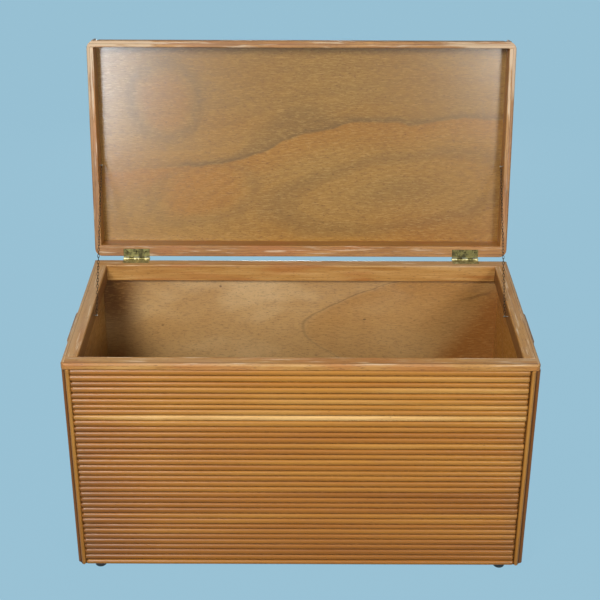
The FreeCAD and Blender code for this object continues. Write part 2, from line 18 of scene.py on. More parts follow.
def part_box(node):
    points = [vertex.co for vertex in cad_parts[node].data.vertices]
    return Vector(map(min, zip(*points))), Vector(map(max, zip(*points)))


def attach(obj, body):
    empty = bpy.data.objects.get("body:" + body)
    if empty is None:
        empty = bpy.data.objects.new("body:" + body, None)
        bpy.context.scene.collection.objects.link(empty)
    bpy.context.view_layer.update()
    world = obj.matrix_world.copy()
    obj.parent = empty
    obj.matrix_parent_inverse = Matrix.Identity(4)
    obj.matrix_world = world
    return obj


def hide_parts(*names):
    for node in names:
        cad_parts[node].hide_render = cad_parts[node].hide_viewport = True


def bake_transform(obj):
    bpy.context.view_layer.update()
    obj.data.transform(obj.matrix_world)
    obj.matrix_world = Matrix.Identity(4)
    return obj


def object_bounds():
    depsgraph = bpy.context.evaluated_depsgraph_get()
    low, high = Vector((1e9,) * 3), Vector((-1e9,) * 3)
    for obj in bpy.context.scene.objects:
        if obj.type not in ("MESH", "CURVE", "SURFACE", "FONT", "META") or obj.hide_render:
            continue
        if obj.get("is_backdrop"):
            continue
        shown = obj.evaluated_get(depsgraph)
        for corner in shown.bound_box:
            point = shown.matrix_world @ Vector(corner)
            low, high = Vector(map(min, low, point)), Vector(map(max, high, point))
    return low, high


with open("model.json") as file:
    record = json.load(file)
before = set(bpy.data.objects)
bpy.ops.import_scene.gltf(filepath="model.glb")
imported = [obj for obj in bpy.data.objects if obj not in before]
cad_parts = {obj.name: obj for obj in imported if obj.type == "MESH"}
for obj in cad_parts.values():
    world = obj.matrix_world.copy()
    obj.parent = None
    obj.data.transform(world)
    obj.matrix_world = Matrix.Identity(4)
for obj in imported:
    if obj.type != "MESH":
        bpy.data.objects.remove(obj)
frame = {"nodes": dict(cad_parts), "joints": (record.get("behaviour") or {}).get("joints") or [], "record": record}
cad_low, cad_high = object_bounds()
millimetre = 0.001
print("loaded", len(frame["nodes"]), "nodes, box", [round(v, 3) for v in (cad_high - cad_low)])

# %% [markdown]
# ## The camera
# The photograph looks down on the chest from the front. Four corners of the box and four of the lid fix
# its focal length, its tilt and its place: a long lens, about two and a half metres away. A camera could
# also be moved by eye, but a solved one lets each edge be compared with the photograph to the pixel.

# %% Camera
photo_pixels = 600
focal_pixels = 1286.0
tilt_down = math.radians(26.68)
roll = math.radians(0.185)
camera_before_front = 2.123
camera_over_rim = 1.204
camera_aside = -1.5 * millimetre

front_trim_low, front_trim_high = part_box("front_top_trim")
rim_z = front_trim_high.z


def into_scene(name, data):
    """A new object that holds the data, linked into the scene."""
    made = bpy.data.objects.new(name, data)
    bpy.context.scene.collection.objects.link(made)
    return made


camera_data = bpy.data.cameras.new("photo_camera")
camera_data.sensor_width = 36.0
camera_data.lens = camera_data.sensor_width * focal_pixels / photo_pixels
camera = into_scene("photo_camera", camera_data)
camera.location = (camera_aside, front_trim_low.y - camera_before_front, rim_z + camera_over_rim)
look = Matrix.Rotation(math.pi / 2 - tilt_down, 3, "X") @ Matrix.Rotation(roll, 3, "Z")
camera.rotation_euler = look.to_euler()
bpy.context.scene.camera = camera
print("camera lens", round(camera_data.lens, 2), "mm at", [round(v, 3) for v in camera.location])

# %% [markdown]
# ## Small helpers for materials
# A finish is a tree of shader nodes. Placing nodes by hand in the editor is fine for one material, but a
# script that repeats the same three lines for every node hides the idea. So one helper adds a node with
# its settings and its inputs, and a few more name the steps that every finish here uses.

# %% Node helpers
def to_linear(level):
    share = level / 255
    return share / 12.92 if share <= 0.04045 else ((share + 0.055) / 1.055) ** 2.4


def paint(red, green, blue):
    """A colour given as the eye names it, 0 to 255, in the linear light that shaders work in."""
    return (to_linear(red), to_linear(green), to_linear(blue), 1.0)


def add(tree, kind, sockets=None, **settings):
    """One node; sockets maps an input's name or number to a value or to another node's output."""
    made = tree.nodes.new("ShaderNode" + kind)
    for name, value in settings.items():
        setattr(made, name, value)
    for key, value in (sockets or {}).items():
        if isinstance(value, bpy.types.NodeSocket):
            tree.links.new(value, made.inputs[key])
        else:
            made.inputs[key].default_value = value
    return made


def math_of(tree, operation, first, second=0.0):
    return add(tree, "Math", {0: first, 1: second}, operation=operation).outputs[0]


def ramp(tree, factor, stops, smooth=True):
    """A colour ramp; stops are (place, colour) in rising order."""
    made = add(tree, "ValToRGB", {0: factor})
    made.color_ramp.interpolation = "EASE" if smooth else "LINEAR"
    points = made.color_ramp.elements
    while len(points) < len(stops):
        points.new(0.5)
    for point, (place, colour) in zip(points, stops):
        point.position = place
        point.color = colour
    return made.outputs[0]


def span(tree, value, low, high, out_low=0.0, out_high=1.0):
    """Stretch low..high to out_low..out_high, with soft ends."""
    sockets = {0: value, 1: low, 2: high, 3: out_low, 4: out_high}
    return add(tree, "MapRange", sockets, interpolation_type="SMOOTHSTEP").outputs[0]


def noise(tree, vector, scale, detail=3.0, roughness=0.5, distortion=0.0):
    sockets = {"Vector": vector, "Scale": scale, "Detail": detail, "Roughness": roughness,
               "Distortion": distortion}
    return add(tree, "TexNoise", sockets).outputs[0]


def stretch(tree, vector, scale, location=(0, 0, 0)):
    return add(tree, "Mapping", {"Vector": vector, "Scale": scale, "Location": location}).outputs[0]


def blend_colours(tree, factor, first, second, mode="MIX"):
    made = add(tree, "Mix", {0: factor, 6: first, 7: second}, data_type="RGBA", blend_type=mode)
    return made.outputs[2]


def new_finish(name):
    """A material with its tree and its one shader."""
    made = bpy.data.materials.new(name)
    made.use_nodes = True
    shader = made.node_tree.nodes["Principled BSDF"]
    return made, made.node_tree, shader


def wire(tree, shader, colour=None, roughness=None, height=None, bump=0.2, depth=0.3):
    """Join a finish's outputs to its shader; height is read as millimetres times depth."""
    if colour is not None:
        tree.links.new(colour, shader.inputs["Base Color"])
    if roughness is not None:
        tree.links.new(roughness, shader.inputs["Roughness"])
    if height is not None:
        sockets = {"Strength": bump, "Distance": depth * millimetre, "Height": height}
        made = add(tree, "Bump", sockets)
        tree.links.new(made.outputs[0], shader.inputs["Normal"])


print("helpers ready; mid honey is", [round(v, 3) for v in paint(170, 118, 62)[:3]])

# %% [markdown]
# ## The studio
# The photograph has a plain pale blue ground and two soft lamps, one on each side of the camera: each side
# wall throws its own shadow on the back of the box, and the lid's upper corners both shine. The left lamp
# is the stronger one. A sky image could light the scene too, but area lamps and an even, dim world give the
# same shadows and stay plain. Beside each lamp stands a cooler one that only adds shine, as a window would.
# A wide warm one overhead stands for the light that a room throws back, and one behind lights the back. The
# floor and the world show the camera the same pale blue, so the ground stays even out to the edges of the
# picture, and the floor still takes a trace of the chest's shadow.

# %% Lamps and floor
def soft_lamp(name, place, size, power, tint, only_shine=False):
    """A square lamp turned to the middle of the chest; one that only shines lights no matt surface."""
    data = bpy.data.lights.new(name, "AREA")
    data.size = size
    data.energy = power
    data.color = tint
    lamp = into_scene(name, data)
    lamp.location = place
    lamp.rotation_euler = (lamp_target - Vector(place)).to_track_quat("-Z", "Y").to_euler()
    lamp.visible_diffuse = not only_shine


lamp_target = Vector((0.0, 0.0, 0.55))
lamp_white = (1.0, 0.98, 0.95)
lamp_cool = (0.74, 0.87, 1.0)
lamp_warm = (1.0, 0.85, 0.62)
soft_lamp("left_lamp", place=(-1.05, -2.2, 2.2), size=0.9, power=68.0, tint=lamp_white)
soft_lamp("right_lamp", place=(1.25, -2.2, 1.35), size=0.5, power=26.0, tint=lamp_white)
soft_lamp("left_shine", place=(-1.15, -2.4, 1.1), size=0.7, power=48.0, tint=lamp_cool, only_shine=True)
soft_lamp("right_shine", place=(1.25, -2.4, 1.3), size=0.7, power=28.0, tint=lamp_cool, only_shine=True)
soft_lamp("ceiling_bounce", place=(0.0, -0.5, 2.9), size=2.4, power=9.0, tint=lamp_warm)
soft_lamp("back_lamp", place=(0.0, 2.6, 0.4), size=0.6, power=40.0, tint=lamp_white)

ground_blue = paint(155, 197, 217)
room_tint = (1.0, 0.66, 0.32, 1.0)
room_strength = 0.05
wall_strength = 0.96
floor_size = 14.0
floor_glow_share = 0.94


def seen_directly(tree):
    """1 for rays that show a background: from the camera, off shiny things and through clear ones."""
    path = add(tree, "LightPath")
    seen = math_of(tree, "MAXIMUM", path.outputs["Is Camera Ray"], path.outputs["Is Glossy Ray"])
    return math_of(tree, "MAXIMUM", seen, path.outputs["Is Transmission Ray"])


world = bpy.data.worlds.new("studio")
world.use_nodes = True
tree = world.node_tree
dim_room = tree.nodes["Background"]
dim_room.inputs["Color"].default_value = room_tint
dim_room.inputs["Strength"].default_value = room_strength
pale_wall = add(tree, "Background", {"Color": ground_blue, "Strength": wall_strength})
both = add(tree, "MixShader", {0: seen_directly(tree), 1: dim_room.outputs[0], 2: pale_wall.outputs[0]})
tree.links.new(both.outputs[0], tree.nodes["World Output"].inputs["Surface"])
bpy.context.scene.world = world
bpy.context.scene.view_settings.view_transform = "Standard"

ground_bm = bmesh.new()
bmesh.ops.create_grid(ground_bm, x_segments=1, y_segments=1, size=floor_size)
ground_mesh = bpy.data.meshes.new("studio_floor")
ground_bm.to_mesh(ground_mesh)
ground_bm.free()
ground = into_scene("studio_floor", ground_mesh)
ground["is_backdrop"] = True

ground_finish, tree, shader = new_finish("pale_ground")
shader.inputs["Base Color"].default_value = paint(128, 134, 137)
shader.inputs["Roughness"].default_value = 0.9
shader.inputs["Specular IOR Level"].default_value = 0.1
even_glow = add(tree, "Emission", {"Color": ground_blue, "Strength": 1.0})
glow_share = math_of(tree, "MULTIPLY", seen_directly(tree), floor_glow_share)
mixed = add(tree, "MixShader", {0: glow_share, 1: shader.outputs[0], 2: even_glow.outputs[0]})
tree.links.new(mixed.outputs[0], tree.nodes["Material Output"].inputs["Surface"])
ground_mesh.materials.append(ground_finish)
print(len(bpy.data.lights), "lamps, an even world and a floor of", len(ground_mesh.polygons), "face")

# %% [markdown]
# ## The open lid
# The lid is stored open, turned back about its hinge line. Its pieces are far easier to think about lying
# closed, where every edge runs along an axis. So one matrix turns the closed lid open, its inverse turns it
# back, and every lid piece below is modelled closed and then swung open.

# %% Lid turn
hinge = frame["joints"][0]
hinge_point = Vector(hinge["pos_m"])
open_angle = math.radians(hinge["range_deg"][1])
about_hinge = Matrix.Translation(hinge_point)
swing_open = about_hinge @ Matrix.Rotation(-open_angle, 4, "X") @ about_hinge.inverted()
lid_nodes = frame["record"]["behaviour"]["bodies"]["lid"]
still = Matrix.Identity(4)
crease = math.radians(42)
weld = 0.002 * millimetre


def pose_of(node):
    """The turn that takes a node from where it is modelled to where it is stored."""
    return swing_open if node in lid_nodes else still


def body_of(node):
    return "lid" if node in lid_nodes else "chest"


def solids_of(node):
    """Lowest and highest corner of each separate solid of a node, with the lid taken as closed."""
    bm = bmesh.new()
    bm.from_mesh(frame["nodes"][node].data)
    bmesh.ops.remove_doubles(bm, verts=bm.verts, dist=weld)
    bmesh.ops.transform(bm, matrix=pose_of(node).inverted(), verts=bm.verts)
    waiting = set(bm.verts)
    boxes = []
    while waiting:
        island = []
        edge_of_search = [waiting.pop()]
        while edge_of_search:
            vert = edge_of_search.pop()
            island.append(vert.co.copy())
            for link in vert.link_edges:
                other = link.other_vert(vert)
                if other in waiting:
                    waiting.remove(other)
                    edge_of_search.append(other)
        low = Vector(min(p[axis] for p in island) for axis in range(3))
        high = Vector(max(p[axis] for p in island) for axis in range(3))
        boxes.append((low, high))
    bm.free()
    return sorted(boxes, key=lambda box: tuple(round(v, 4) for v in box[0]))


def to_mesh(name, bm, finish):
    """Smooth faces that stay crisp where they meet at more than the crease angle."""
    bmesh.ops.recalc_face_normals(bm, faces=bm.faces)
    for face in bm.faces:
        face.smooth = True
    mesh = bpy.data.meshes.new(name)
    bm.to_mesh(mesh)
    bm.free()
    mesh.set_sharp_from_angle(angle=crease)
    mesh.materials.append(finish)
    return mesh


def show(name, bm, node, finish):
    """Turn a finished bmesh into a piece that stands for a node, rides its body and takes a finish."""
    bmesh.ops.transform(bm, matrix=pose_of(node), verts=bm.verts)
    mesh = to_mesh(name, bm, finish)
    piece = into_scene(name, mesh)
    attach(piece, body_of(node))
    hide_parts(node)


print("lid opens", round(math.degrees(open_angle)), "degrees")
print("front reeds found:", len(solids_of("front_reeds")))

# %% [markdown]
# ## The reeds' finish
# Split rattan is a smooth, hard skin with fine fibres along it and a few small dark specks. Old varnish
# makes it honey brown. Its edges are darker, partly as varnish pooled in the gaps and partly as painted
# shade between the reeds. A pattern in space would run straight through neighbouring reeds, so each strip
# carries its own UV map, in metres along it and in shares across it, and its own number called shade. One
# finish then serves every reed, whichever way it runs.

# %% Reed varnish
def reed_varnish():
    finish, tree, shader = new_finish("reed_varnish")
    place = add(tree, "UVMap", uv_map="strip").outputs[0]
    own_shade = add(tree, "Attribute", attribute_name="shade").outputs["Fac"]
    parts = add(tree, "SeparateXYZ", {0: place})
    drift = noise(tree, stretch(tree, place, (2.0, 0.4, 1.0)), 1.0, 2.0)
    tone = math_of(tree, "ADD", own_shade, span(tree, drift, 0.3, 0.7, -0.12, 0.12))
    colour = ramp(tree, tone, ((0.0, paint(142, 86, 24)), (0.3, paint(165, 106, 36)),
                               (0.6, paint(180, 124, 48)), (0.8, paint(198, 150, 78)),
                               (1.0, paint(226, 184, 118))), smooth=False)
    fibre = noise(tree, stretch(tree, place, (16.0, 9.0, 1.0)), 1.0, 5.0, 0.6)
    colour = blend_colours(tree, span(tree, fibre, 0.4, 0.8, 0.0, 0.45), colour, paint(146, 94, 44))
    stain = noise(tree, stretch(tree, place, (7.0, 1.5, 1.0), (3.1, 0.7, 0.0)), 1.0, 3.0, 0.6)
    colour = blend_colours(tree, span(tree, stain, 0.56, 0.8, 0.0, 0.45), colour, paint(164, 98, 40))
    specks = add(tree, "TexVoronoi", {"Vector": stretch(tree, place, (30.0, 1.5, 1.0)), "Scale": 1.0})
    rare = span(tree, specks.outputs["Distance"], 0.08, 0.03)
    colour = blend_colours(tree, math_of(tree, "MULTIPLY", rare, 0.6), colour, paint(84, 50, 20))
    from_end = add(tree, "Attribute", attribute_name="from_end").outputs["Fac"]
    near_end = span(tree, from_end, 0.04, 0.0, 0.0, 0.3)
    dulled = math_of(tree, "MULTIPLY", near_end, span(tree, fibre, 0.3, 0.6, 0.4, 1.0))
    colour = blend_colours(tree, dulled, colour, paint(132, 98, 58))
    aside = math_of(tree, "ABSOLUTE", math_of(tree, "SUBTRACT", parts.outputs[1], 0.5))
    # The edges darken: partly varnish pooled in the gaps, partly painted shade between the reeds.
    gap_varnish_and_shade = span(tree, aside, 0.42, 0.5)
    colour = blend_colours(tree, math_of(tree, "MULTIPLY", gap_varnish_and_shade, 0.75), colour, paint(84, 44, 12))
    # Below 0 the shade turns dark brown: on the corners' side strips, and where the front's painted shade goes
    # deepest.
    colour = blend_colours(tree, span(tree, own_shade, 0.0, -1.0), colour, paint(64, 38, 14))
    rough = span(tree, fibre, 0.3, 0.7, 0.28, 0.42)
    wire(tree, shader, colour, rough, fibre, 0.25, 0.25)
    shader.inputs["Specular IOR Level"].default_value = 0.27
    return finish


reed_finish = reed_varnish()
print("reed finish has", len(reed_finish.node_tree.nodes), "nodes")

# %% [markdown]
# ## One strip of reed
# A split reed is half a round stick: flat at the back, round in front, a little crooked, with its cut ends
# rubbed round. It could be a bevelled curve, but a curve's ends and its flat back take extra work. Here a
# disc is cut in half, and the half disc is extruded along the strip. At each stop it is moved a hair
# sideways or scaled, so no two reeds are quite alike, and the first and last stops are smaller. A second
# stop close to each rounded end keeps the soft shading of that end from reaching far along the reed. Each
# extrusion leaves the half disc that it starts from inside the strip.

# %% Strip builder
crown_facets = 6
end_round = 2.2 * millimetre
end_share = 0.66
strip_share = 0.985
crown_share = 0.8
end_slack = 1.4 * millimetre
sway_most = 0.25 * millimetre
swell_share = 0.05
middle_stop_shares = (0.18, 0.34, 0.5, 0.66, 0.82)
chart_start_most = 40.0
dark_share = 0.2


def half_disc(bm):
    """A unit half disc: X across the strip, Y outwards."""
    made = bmesh.ops.create_circle(bm, cap_ends=True, segments=crown_facets * 2, radius=1.0)
    verts = made["verts"]
    geometry = verts + list({e for v in verts for e in v.link_edges}) + list(verts[0].link_faces)
    bmesh.ops.bisect_plane(bm, geom=geometry, dist=1e-5, plane_co=(0, 0, 0), plane_no=(0, 1, 0),
                           clear_inner=True)


def strip(start, along, aside, outward, width, rise, shade, chance, crooked=1.0, start_painted_shade=0.0):
    """One strip as its own bmesh, with its UV map and its shade; along carries the length."""
    bm = bmesh.new()
    half_disc(bm)
    direction = along.normalized()
    start = start + direction * chance.uniform(0.0, end_slack) * crooked
    length = along.length - chance.uniform(1.0, 2.0) * end_slack * crooked
    stops = [(0.0, end_share), (end_round, 1.0), (2 * end_round, 1.0)]
    stops += [(length * share, 1.0) for share in middle_stop_shares]
    stops += [(length - 2 * end_round, 1.0), (length - end_round, 1.0), (length, end_share)]
    same_as_before = (1, 2, len(stops) - 2, len(stops) - 1)
    basis = Matrix((aside, outward, direction)).transposed().to_4x4()
    last = still
    faces = list(bm.faces)
    for index, (distance, share) in enumerate(stops):
        if index not in same_as_before:
            sway = aside * chance.uniform(-sway_most, sway_most) * crooked
            swell = 1.0 + chance.uniform(-swell_share, swell_share) * crooked
        size = Vector((width / 2 * share, rise * swell * share, 1.0))
        place = start + direction * distance + sway
        now = Matrix.Translation(place) @ basis @ Matrix.Diagonal(size.to_4d())
        if index > 0:
            moved = bmesh.ops.extrude_face_region(bm, geom=faces, use_keep_orig=index == 1)["geom"]
            faces = [f for f in moved if isinstance(f, bmesh.types.BMFace)]
        verts = list({v for f in faces for v in f.verts})
        bmesh.ops.transform(bm, matrix=now @ last.inverted(), verts=verts)
        last = now
    number = bm.verts.layers.float.new("shade")
    ending = bm.verts.layers.float.new("from_end")
    chart = bm.loops.layers.uv.new("strip")
    offset = chance.uniform(0.0, chart_start_most)
    # start_painted_shade lowers the shade towards the strip's start: painted shade.
    for vert in bm.verts:
        reach = (vert.co - start).dot(direction)
        vert[number] = shade - start_painted_shade * max(0.0, 1.0 - reach / (dark_share * length))
        vert[ending] = max(0.0, min(reach, length - reach))
    for face in bm.faces:
        for loop in face.loops:
            reach = loop.vert.co - start
            loop[chart].uv = (reach.dot(direction) + offset, reach.dot(aside) / width + 0.5)
    bmesh.ops.recalc_face_normals(bm, faces=bm.faces)
    return bm


axes = (Vector((1, 0, 0)), Vector((0, 1, 0)), Vector((0, 0, 1)))
trial_width = 12.0 * millimetre
trial = strip(Vector(), axes[0], axes[2], -axes[1], trial_width, trial_width / 2, 0.5, random.Random(1))
print("one strip has", len(trial.faces), "faces")
trial.free()

# %% [markdown]
# ## Cladding
# Every reed and half-round trim of the CAD model is a long, low box in outline, so its own box says how it
# lies: the longest side is its run, the shortest is its rise, and it rises away from the middle of the
# chest. That finds the place of each strip with no list of places. The ninth reed from the top of the front
# is paler than the rest, as a reed put in later would be. Reeds get lower crowns than trims, uneven widths
# and the full crookedness. The front's reeds are painted darker downwards and towards their left ends, as
# painted shade.

# %% Clad every face
chance = random.Random(36)
chest_middle = (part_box("bottom_panel")[0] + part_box("bottom_panel")[1]) / 2
chest_middle.z = rim_z / 2
lid_closed = solids_of("lid_panel")[0]
lid_middle = (lid_closed[0] + lid_closed[1]) / 2
lid_middle.z = rim_z
reed_shades = (0.36, 0.7)
corner_shades = (0.5, 0.66)
border_shades = (0.2, 0.4)
side_strip_shade = -0.15
pale_reed_from_top = 8
pale_shade = 0.92
front_painted_shade = 0.26
left_painted_shade_share = 1.3
reed_crooked = 1.0
trim_crooked = 0.4
corner_share = 0.84
border_share = 0.94
line_shift_most = 0.7 * millimetre
corner_rise = 6.4 * millimetre
under_trim_gap = 1.3 * millimetre
first_drop = 2.2 * millimetre
dropped_reeds = 7
easing_reeds = 3
reach_left = 1.6 * millimetre
proud_corner = 1.6 * millimetre


def strip_in_box(low, high, middle, shade, crooked, share, start_painted_shade):
    """The strip that a box stands for: it runs along the longest side and rises along the shortest."""
    size = high - low
    rise_axis, width_axis, run_axis = sorted(range(3), key=lambda axis: size[axis])
    centre = (low + high) / 2
    outward = axes[rise_axis] * (1 if centre[rise_axis] > middle[rise_axis] else -1)
    start = centre - axes[run_axis] * (size[run_axis] / 2) - outward * (size[rise_axis] / 2)
    rise = size[rise_axis] * (crown_share if crooked == reed_crooked else 1.0)
    return strip(start, axes[run_axis] * size[run_axis], axes[width_axis], outward,
                 size[width_axis] * share, rise, shade, chance, crooked, start_painted_shade)


def uneven(boxes):
    """Shift the lines between neighbours, so that some reeds are broad and some narrow."""
    for lower, upper in zip(boxes, boxes[1:]):
        step = upper[0] - lower[0]
        axis = max(range(3), key=lambda a: step[a])
        shift = chance.uniform(-line_shift_most, line_shift_most)
        lower[1][axis] += shift
        upper[0][axis] += shift


def drop_first(boxes):
    """The front's first reeds sit a little low, under a dark line, and all of them reach further left."""
    boxes[-1][1].z -= under_trim_gap
    for below_trim, (lower, upper) in enumerate(zip(boxes[-2::-1], boxes[::-1])):
        drop = first_drop * max(0.0, min(1.0, (dropped_reeds - below_trim) / easing_reeds))
        lower[1].z -= drop
        upper[0].z -= drop
    for low, high in boxes:
        low.x -= reach_left


def split_corner(low, high, middle):
    """The two strips of a corner come as one box: cut it into the face's strip and the side's."""
    boxes = []
    for width_axis in (0, 1):
        rise_axis = 1 - width_axis
        first, last = low.copy(), high.copy()
        if low[width_axis] + high[width_axis] > 2 * middle[width_axis]:
            last[width_axis] -= corner_rise
        else:
            first[width_axis] += corner_rise
        if low[rise_axis] + high[rise_axis] > 2 * middle[rise_axis]:
            first[rise_axis] = last[rise_axis] - corner_rise
        else:
            last[rise_axis] = first[rise_axis] + corner_rise
        boxes.append((first, last))
    return boxes


def add_part(whole, part):
    """Copy a finished bmesh into a larger one, and let go of it."""
    mesh = bpy.data.meshes.new("one_part")
    part.to_mesh(mesh)
    part.free()
    whole.from_mesh(mesh)
    bpy.data.meshes.remove(mesh)


def clad(node, crooked, shade_span, share, pale=None, fade=0.0, at_corner=False):
    """Replace a node of strips by round ones; fade paints them darker towards the first, as painted shade."""
    whole = bmesh.new()
    middle = lid_middle if node in lid_nodes else chest_middle
    boxes = solids_of(node)
    if at_corner:
        boxes = [part for low, high in boxes for part in split_corner(low, high, middle)]
        if node == "front_right_corner_trim":
            boxes[1][1].x += proud_corner
    if crooked == reed_crooked:
        uneven(boxes)
    if pale is not None:
        drop_first(boxes)
    for index, (low, high) in enumerate(boxes):
        is_pale = pale is not None and index == len(boxes) - 1 - pale
        # fade paints the lower reeds darker, as painted shade.
        shade = chance.uniform(*shade_span) - fade * (1 - index / len(boxes))
        if is_pale:
            shade = pale_shade
        if at_corner and index % 2 == 1:
            shade = side_strip_shade
        add_part(whole, strip_in_box(low, high, middle, shade, crooked, share, fade * left_painted_shade_share))
    print(node, "has", len(boxes), "strips of", len(whole.faces), "faces in all")
    show(node + "_round", whole, node, reed_finish)


clad("front_reeds", reed_crooked, reed_shades, strip_share, pale_reed_from_top, front_painted_shade)
for node in ("back_reeds", "left_reeds", "right_reeds", "lid_top_reeds", "lid_front_reeds", "lid_back_reeds",
             "lid_left_reeds", "lid_right_reeds"):
    clad(node, reed_crooked, reed_shades, strip_share)
for node in ("front_left_corner_trim", "front_right_corner_trim", "back_left_corner_trim",
             "back_right_corner_trim", "lid_corner_trims"):
    clad(node, trim_crooked, corner_shades, corner_share, at_corner=True)
for node in ("front_bottom_trim", "back_bottom_trim", "left_bottom_trim", "right_bottom_trim",
             "lid_border_trims"):
    clad(node, trim_crooked, border_shades, border_share)

# %% [markdown]
# ## Solid wood
# The rails, the trims round the rim and the handles are solid wood: straight grain, fine dark pores, a
# reddish tone in places, and varnish rubbed pale where hands and the lid have met the edges. A wood texture
# must run along each rail, so the pattern's first axis is turned to the rail's own direction, and the lid's
# rails are first turned back to where they lie closed. Wear is a patchy pattern that is let through only
# near the edge that gets rubbed.

# %% Rail wood
corner_wear_reach = 200.0 * millimetre
corner_wear_core = 20.0 * millimetre
corner_wear = 0.26
inner_fade_share = 0.8
lid_bleach = 0.1
box_bleach = 0.6
seam_edge = 1.2 * millimetre
seam_core = 0.4 * millimetre


def lay_along(tree, run_axis, on_lid):
    """Coordinates whose X follows the grain, and the same before that turn; None suits the lid's trims."""
    place = add(tree, "TexCoord").outputs["Object"]
    if on_lid:
        sockets = {"Vector": place, "Location": hinge_point, "Rotation": (-open_angle, 0, 0)}
        place = add(tree, "Mapping", sockets, vector_type="TEXTURE").outputs[0]
    upright = place
    if run_axis != 0:
        sockets = {"Vector": place, "Rotation": (0, 0, math.pi / 2)}
        place = add(tree, "Mapping", sockets, vector_type="TEXTURE").outputs[0]
    if run_axis is None:
        across = math_of(tree, "ABSOLUTE", add(tree, "SeparateXYZ", {0: upright}).outputs[0])
        is_side = math_of(tree, "GREATER_THAN", across, lid_seam_x[1])
        place = add(tree, "Mix", {0: is_side, 4: upright, 5: place}, data_type="VECTOR").outputs[1]
    return place, upright


def rail_wood(name, run_axis, on_lid, worn_span, wear, tone, inner_shade=0.0, seam=None):
    """Straight-grained wood, worn pale between two heights, with a dark seam beside its trim."""
    worn_from, worn_to = worn_span
    finish, tree, shader = new_finish(name)
    place, upright = lay_along(tree, run_axis, on_lid)
    grain = noise(tree, stretch(tree, place, (9.0, 240.0, 240.0)), 1.0, 4.0, 0.6, 0.3)
    broad = noise(tree, stretch(tree, place, (4.0, 40.0, 40.0)), 1.0, 3.0, 0.5)
    mixed = math_of(tree, "ADD", math_of(tree, "MULTIPLY", grain, 0.6), math_of(tree, "MULTIPLY", broad, 0.4))
    mixed = math_of(tree, "ADD", mixed, tone)
    colour = ramp(tree, mixed, ((0.34, paint(152, 104, 50)), (0.46, paint(176, 126, 64)),
                                (0.54, paint(188, 140, 76)), (0.66, paint(204, 160, 98))), smooth=False)
    red = noise(tree, stretch(tree, place, (6.0, 30.0, 30.0), (5.0, 1.0, 2.0)), 1.0, 2.0)
    colour = blend_colours(tree, span(tree, red, 0.5, 0.66, 0.0, 0.5), colour, paint(176, 110, 56))
    pores = noise(tree, stretch(tree, place, (90.0, 600.0, 600.0)), 1.0, 2.0, 0.5)
    pore = span(tree, pores, 0.42, 0.32)
    colour = blend_colours(tree, math_of(tree, "MULTIPLY", pore, 0.5), colour, paint(104, 64, 28))
    parts = add(tree, "SeparateXYZ", {0: upright})
    rubbed = span(tree, parts.outputs[2], worn_from, worn_to)
    patches = noise(tree, stretch(tree, place, (11.0, 170.0, 170.0), (2.0, 7.0, 1.0)), 1.0, 4.0, 0.6)
    if on_lid:
        across = math_of(tree, "SUBTRACT", math_of(tree, "ABSOLUTE", parts.outputs[0]), lid_corner.x)
        along = math_of(tree, "SUBTRACT", parts.outputs[1], lid_corner.y)
        reach = add(tree, "VectorMath", {0: add(tree, "CombineXYZ", {0: across, 1: along}).outputs[0]},
                    operation="LENGTH").outputs["Value"]
        near_corner = span(tree, reach, corner_wear_reach, corner_wear_core, 0.0, corner_wear)
        patches = math_of(tree, "ADD", patches, near_corner)
    # Below the rubbed band the inner faces turn darker: partly darker varnish, partly painted shade.
    deeper = worn_from + inner_fade_share * (worn_from - worn_to)
    inner = span(tree, parts.outputs[2], worn_from, deeper, 0.0, inner_shade)
    colour = blend_colours(tree, inner, colour, paint(150, 100, 40) if on_lid else paint(106, 60, 20))
    most = lid_bleach if on_lid else box_bleach
    bleached = math_of(tree, "MULTIPLY", rubbed, span(tree, broad, 0.36, 0.62, most / 4, most))
    colour = blend_colours(tree, bleached, colour, paint(186, 158, 128))
    worn = math_of(tree, "MULTIPLY", rubbed, span(tree, patches, 0.54, 0.68, 0.0, wear))
    colour = blend_colours(tree, worn, colour, paint(226, 206, 176))
    if seam:
        middle, reach = seam
        aside = math_of(tree, "SUBTRACT", parts.outputs[1 - run_axis], middle)
        off = math_of(tree, "ABSOLUTE", math_of(tree, "SUBTRACT", math_of(tree, "ABSOLUTE", aside), reach))
        dark_line = span(tree, off, seam_edge, seam_core, 0.0, 0.7)
        colour = blend_colours(tree, dark_line, colour, paint(92, 56, 22))
    rough = math_of(tree, "ADD", span(tree, grain, 0.3, 0.7, 0.36, 0.5), math_of(tree, "MULTIPLY", worn, 0.2))
    wire(tree, shader, colour, rough, math_of(tree, "SUBTRACT", grain, pore), 0.3, 0.3)
    shader.inputs["Specular IOR Level"].default_value = 0.3
    return finish


def dress(finish, *nodes):
    """Give CAD nodes a finish."""
    for name in nodes:
        data = frame["nodes"][name].data
        data.materials.clear()
        data.materials.append(finish)


print("rail wood can be laid along two axes, on the box or on the lid")

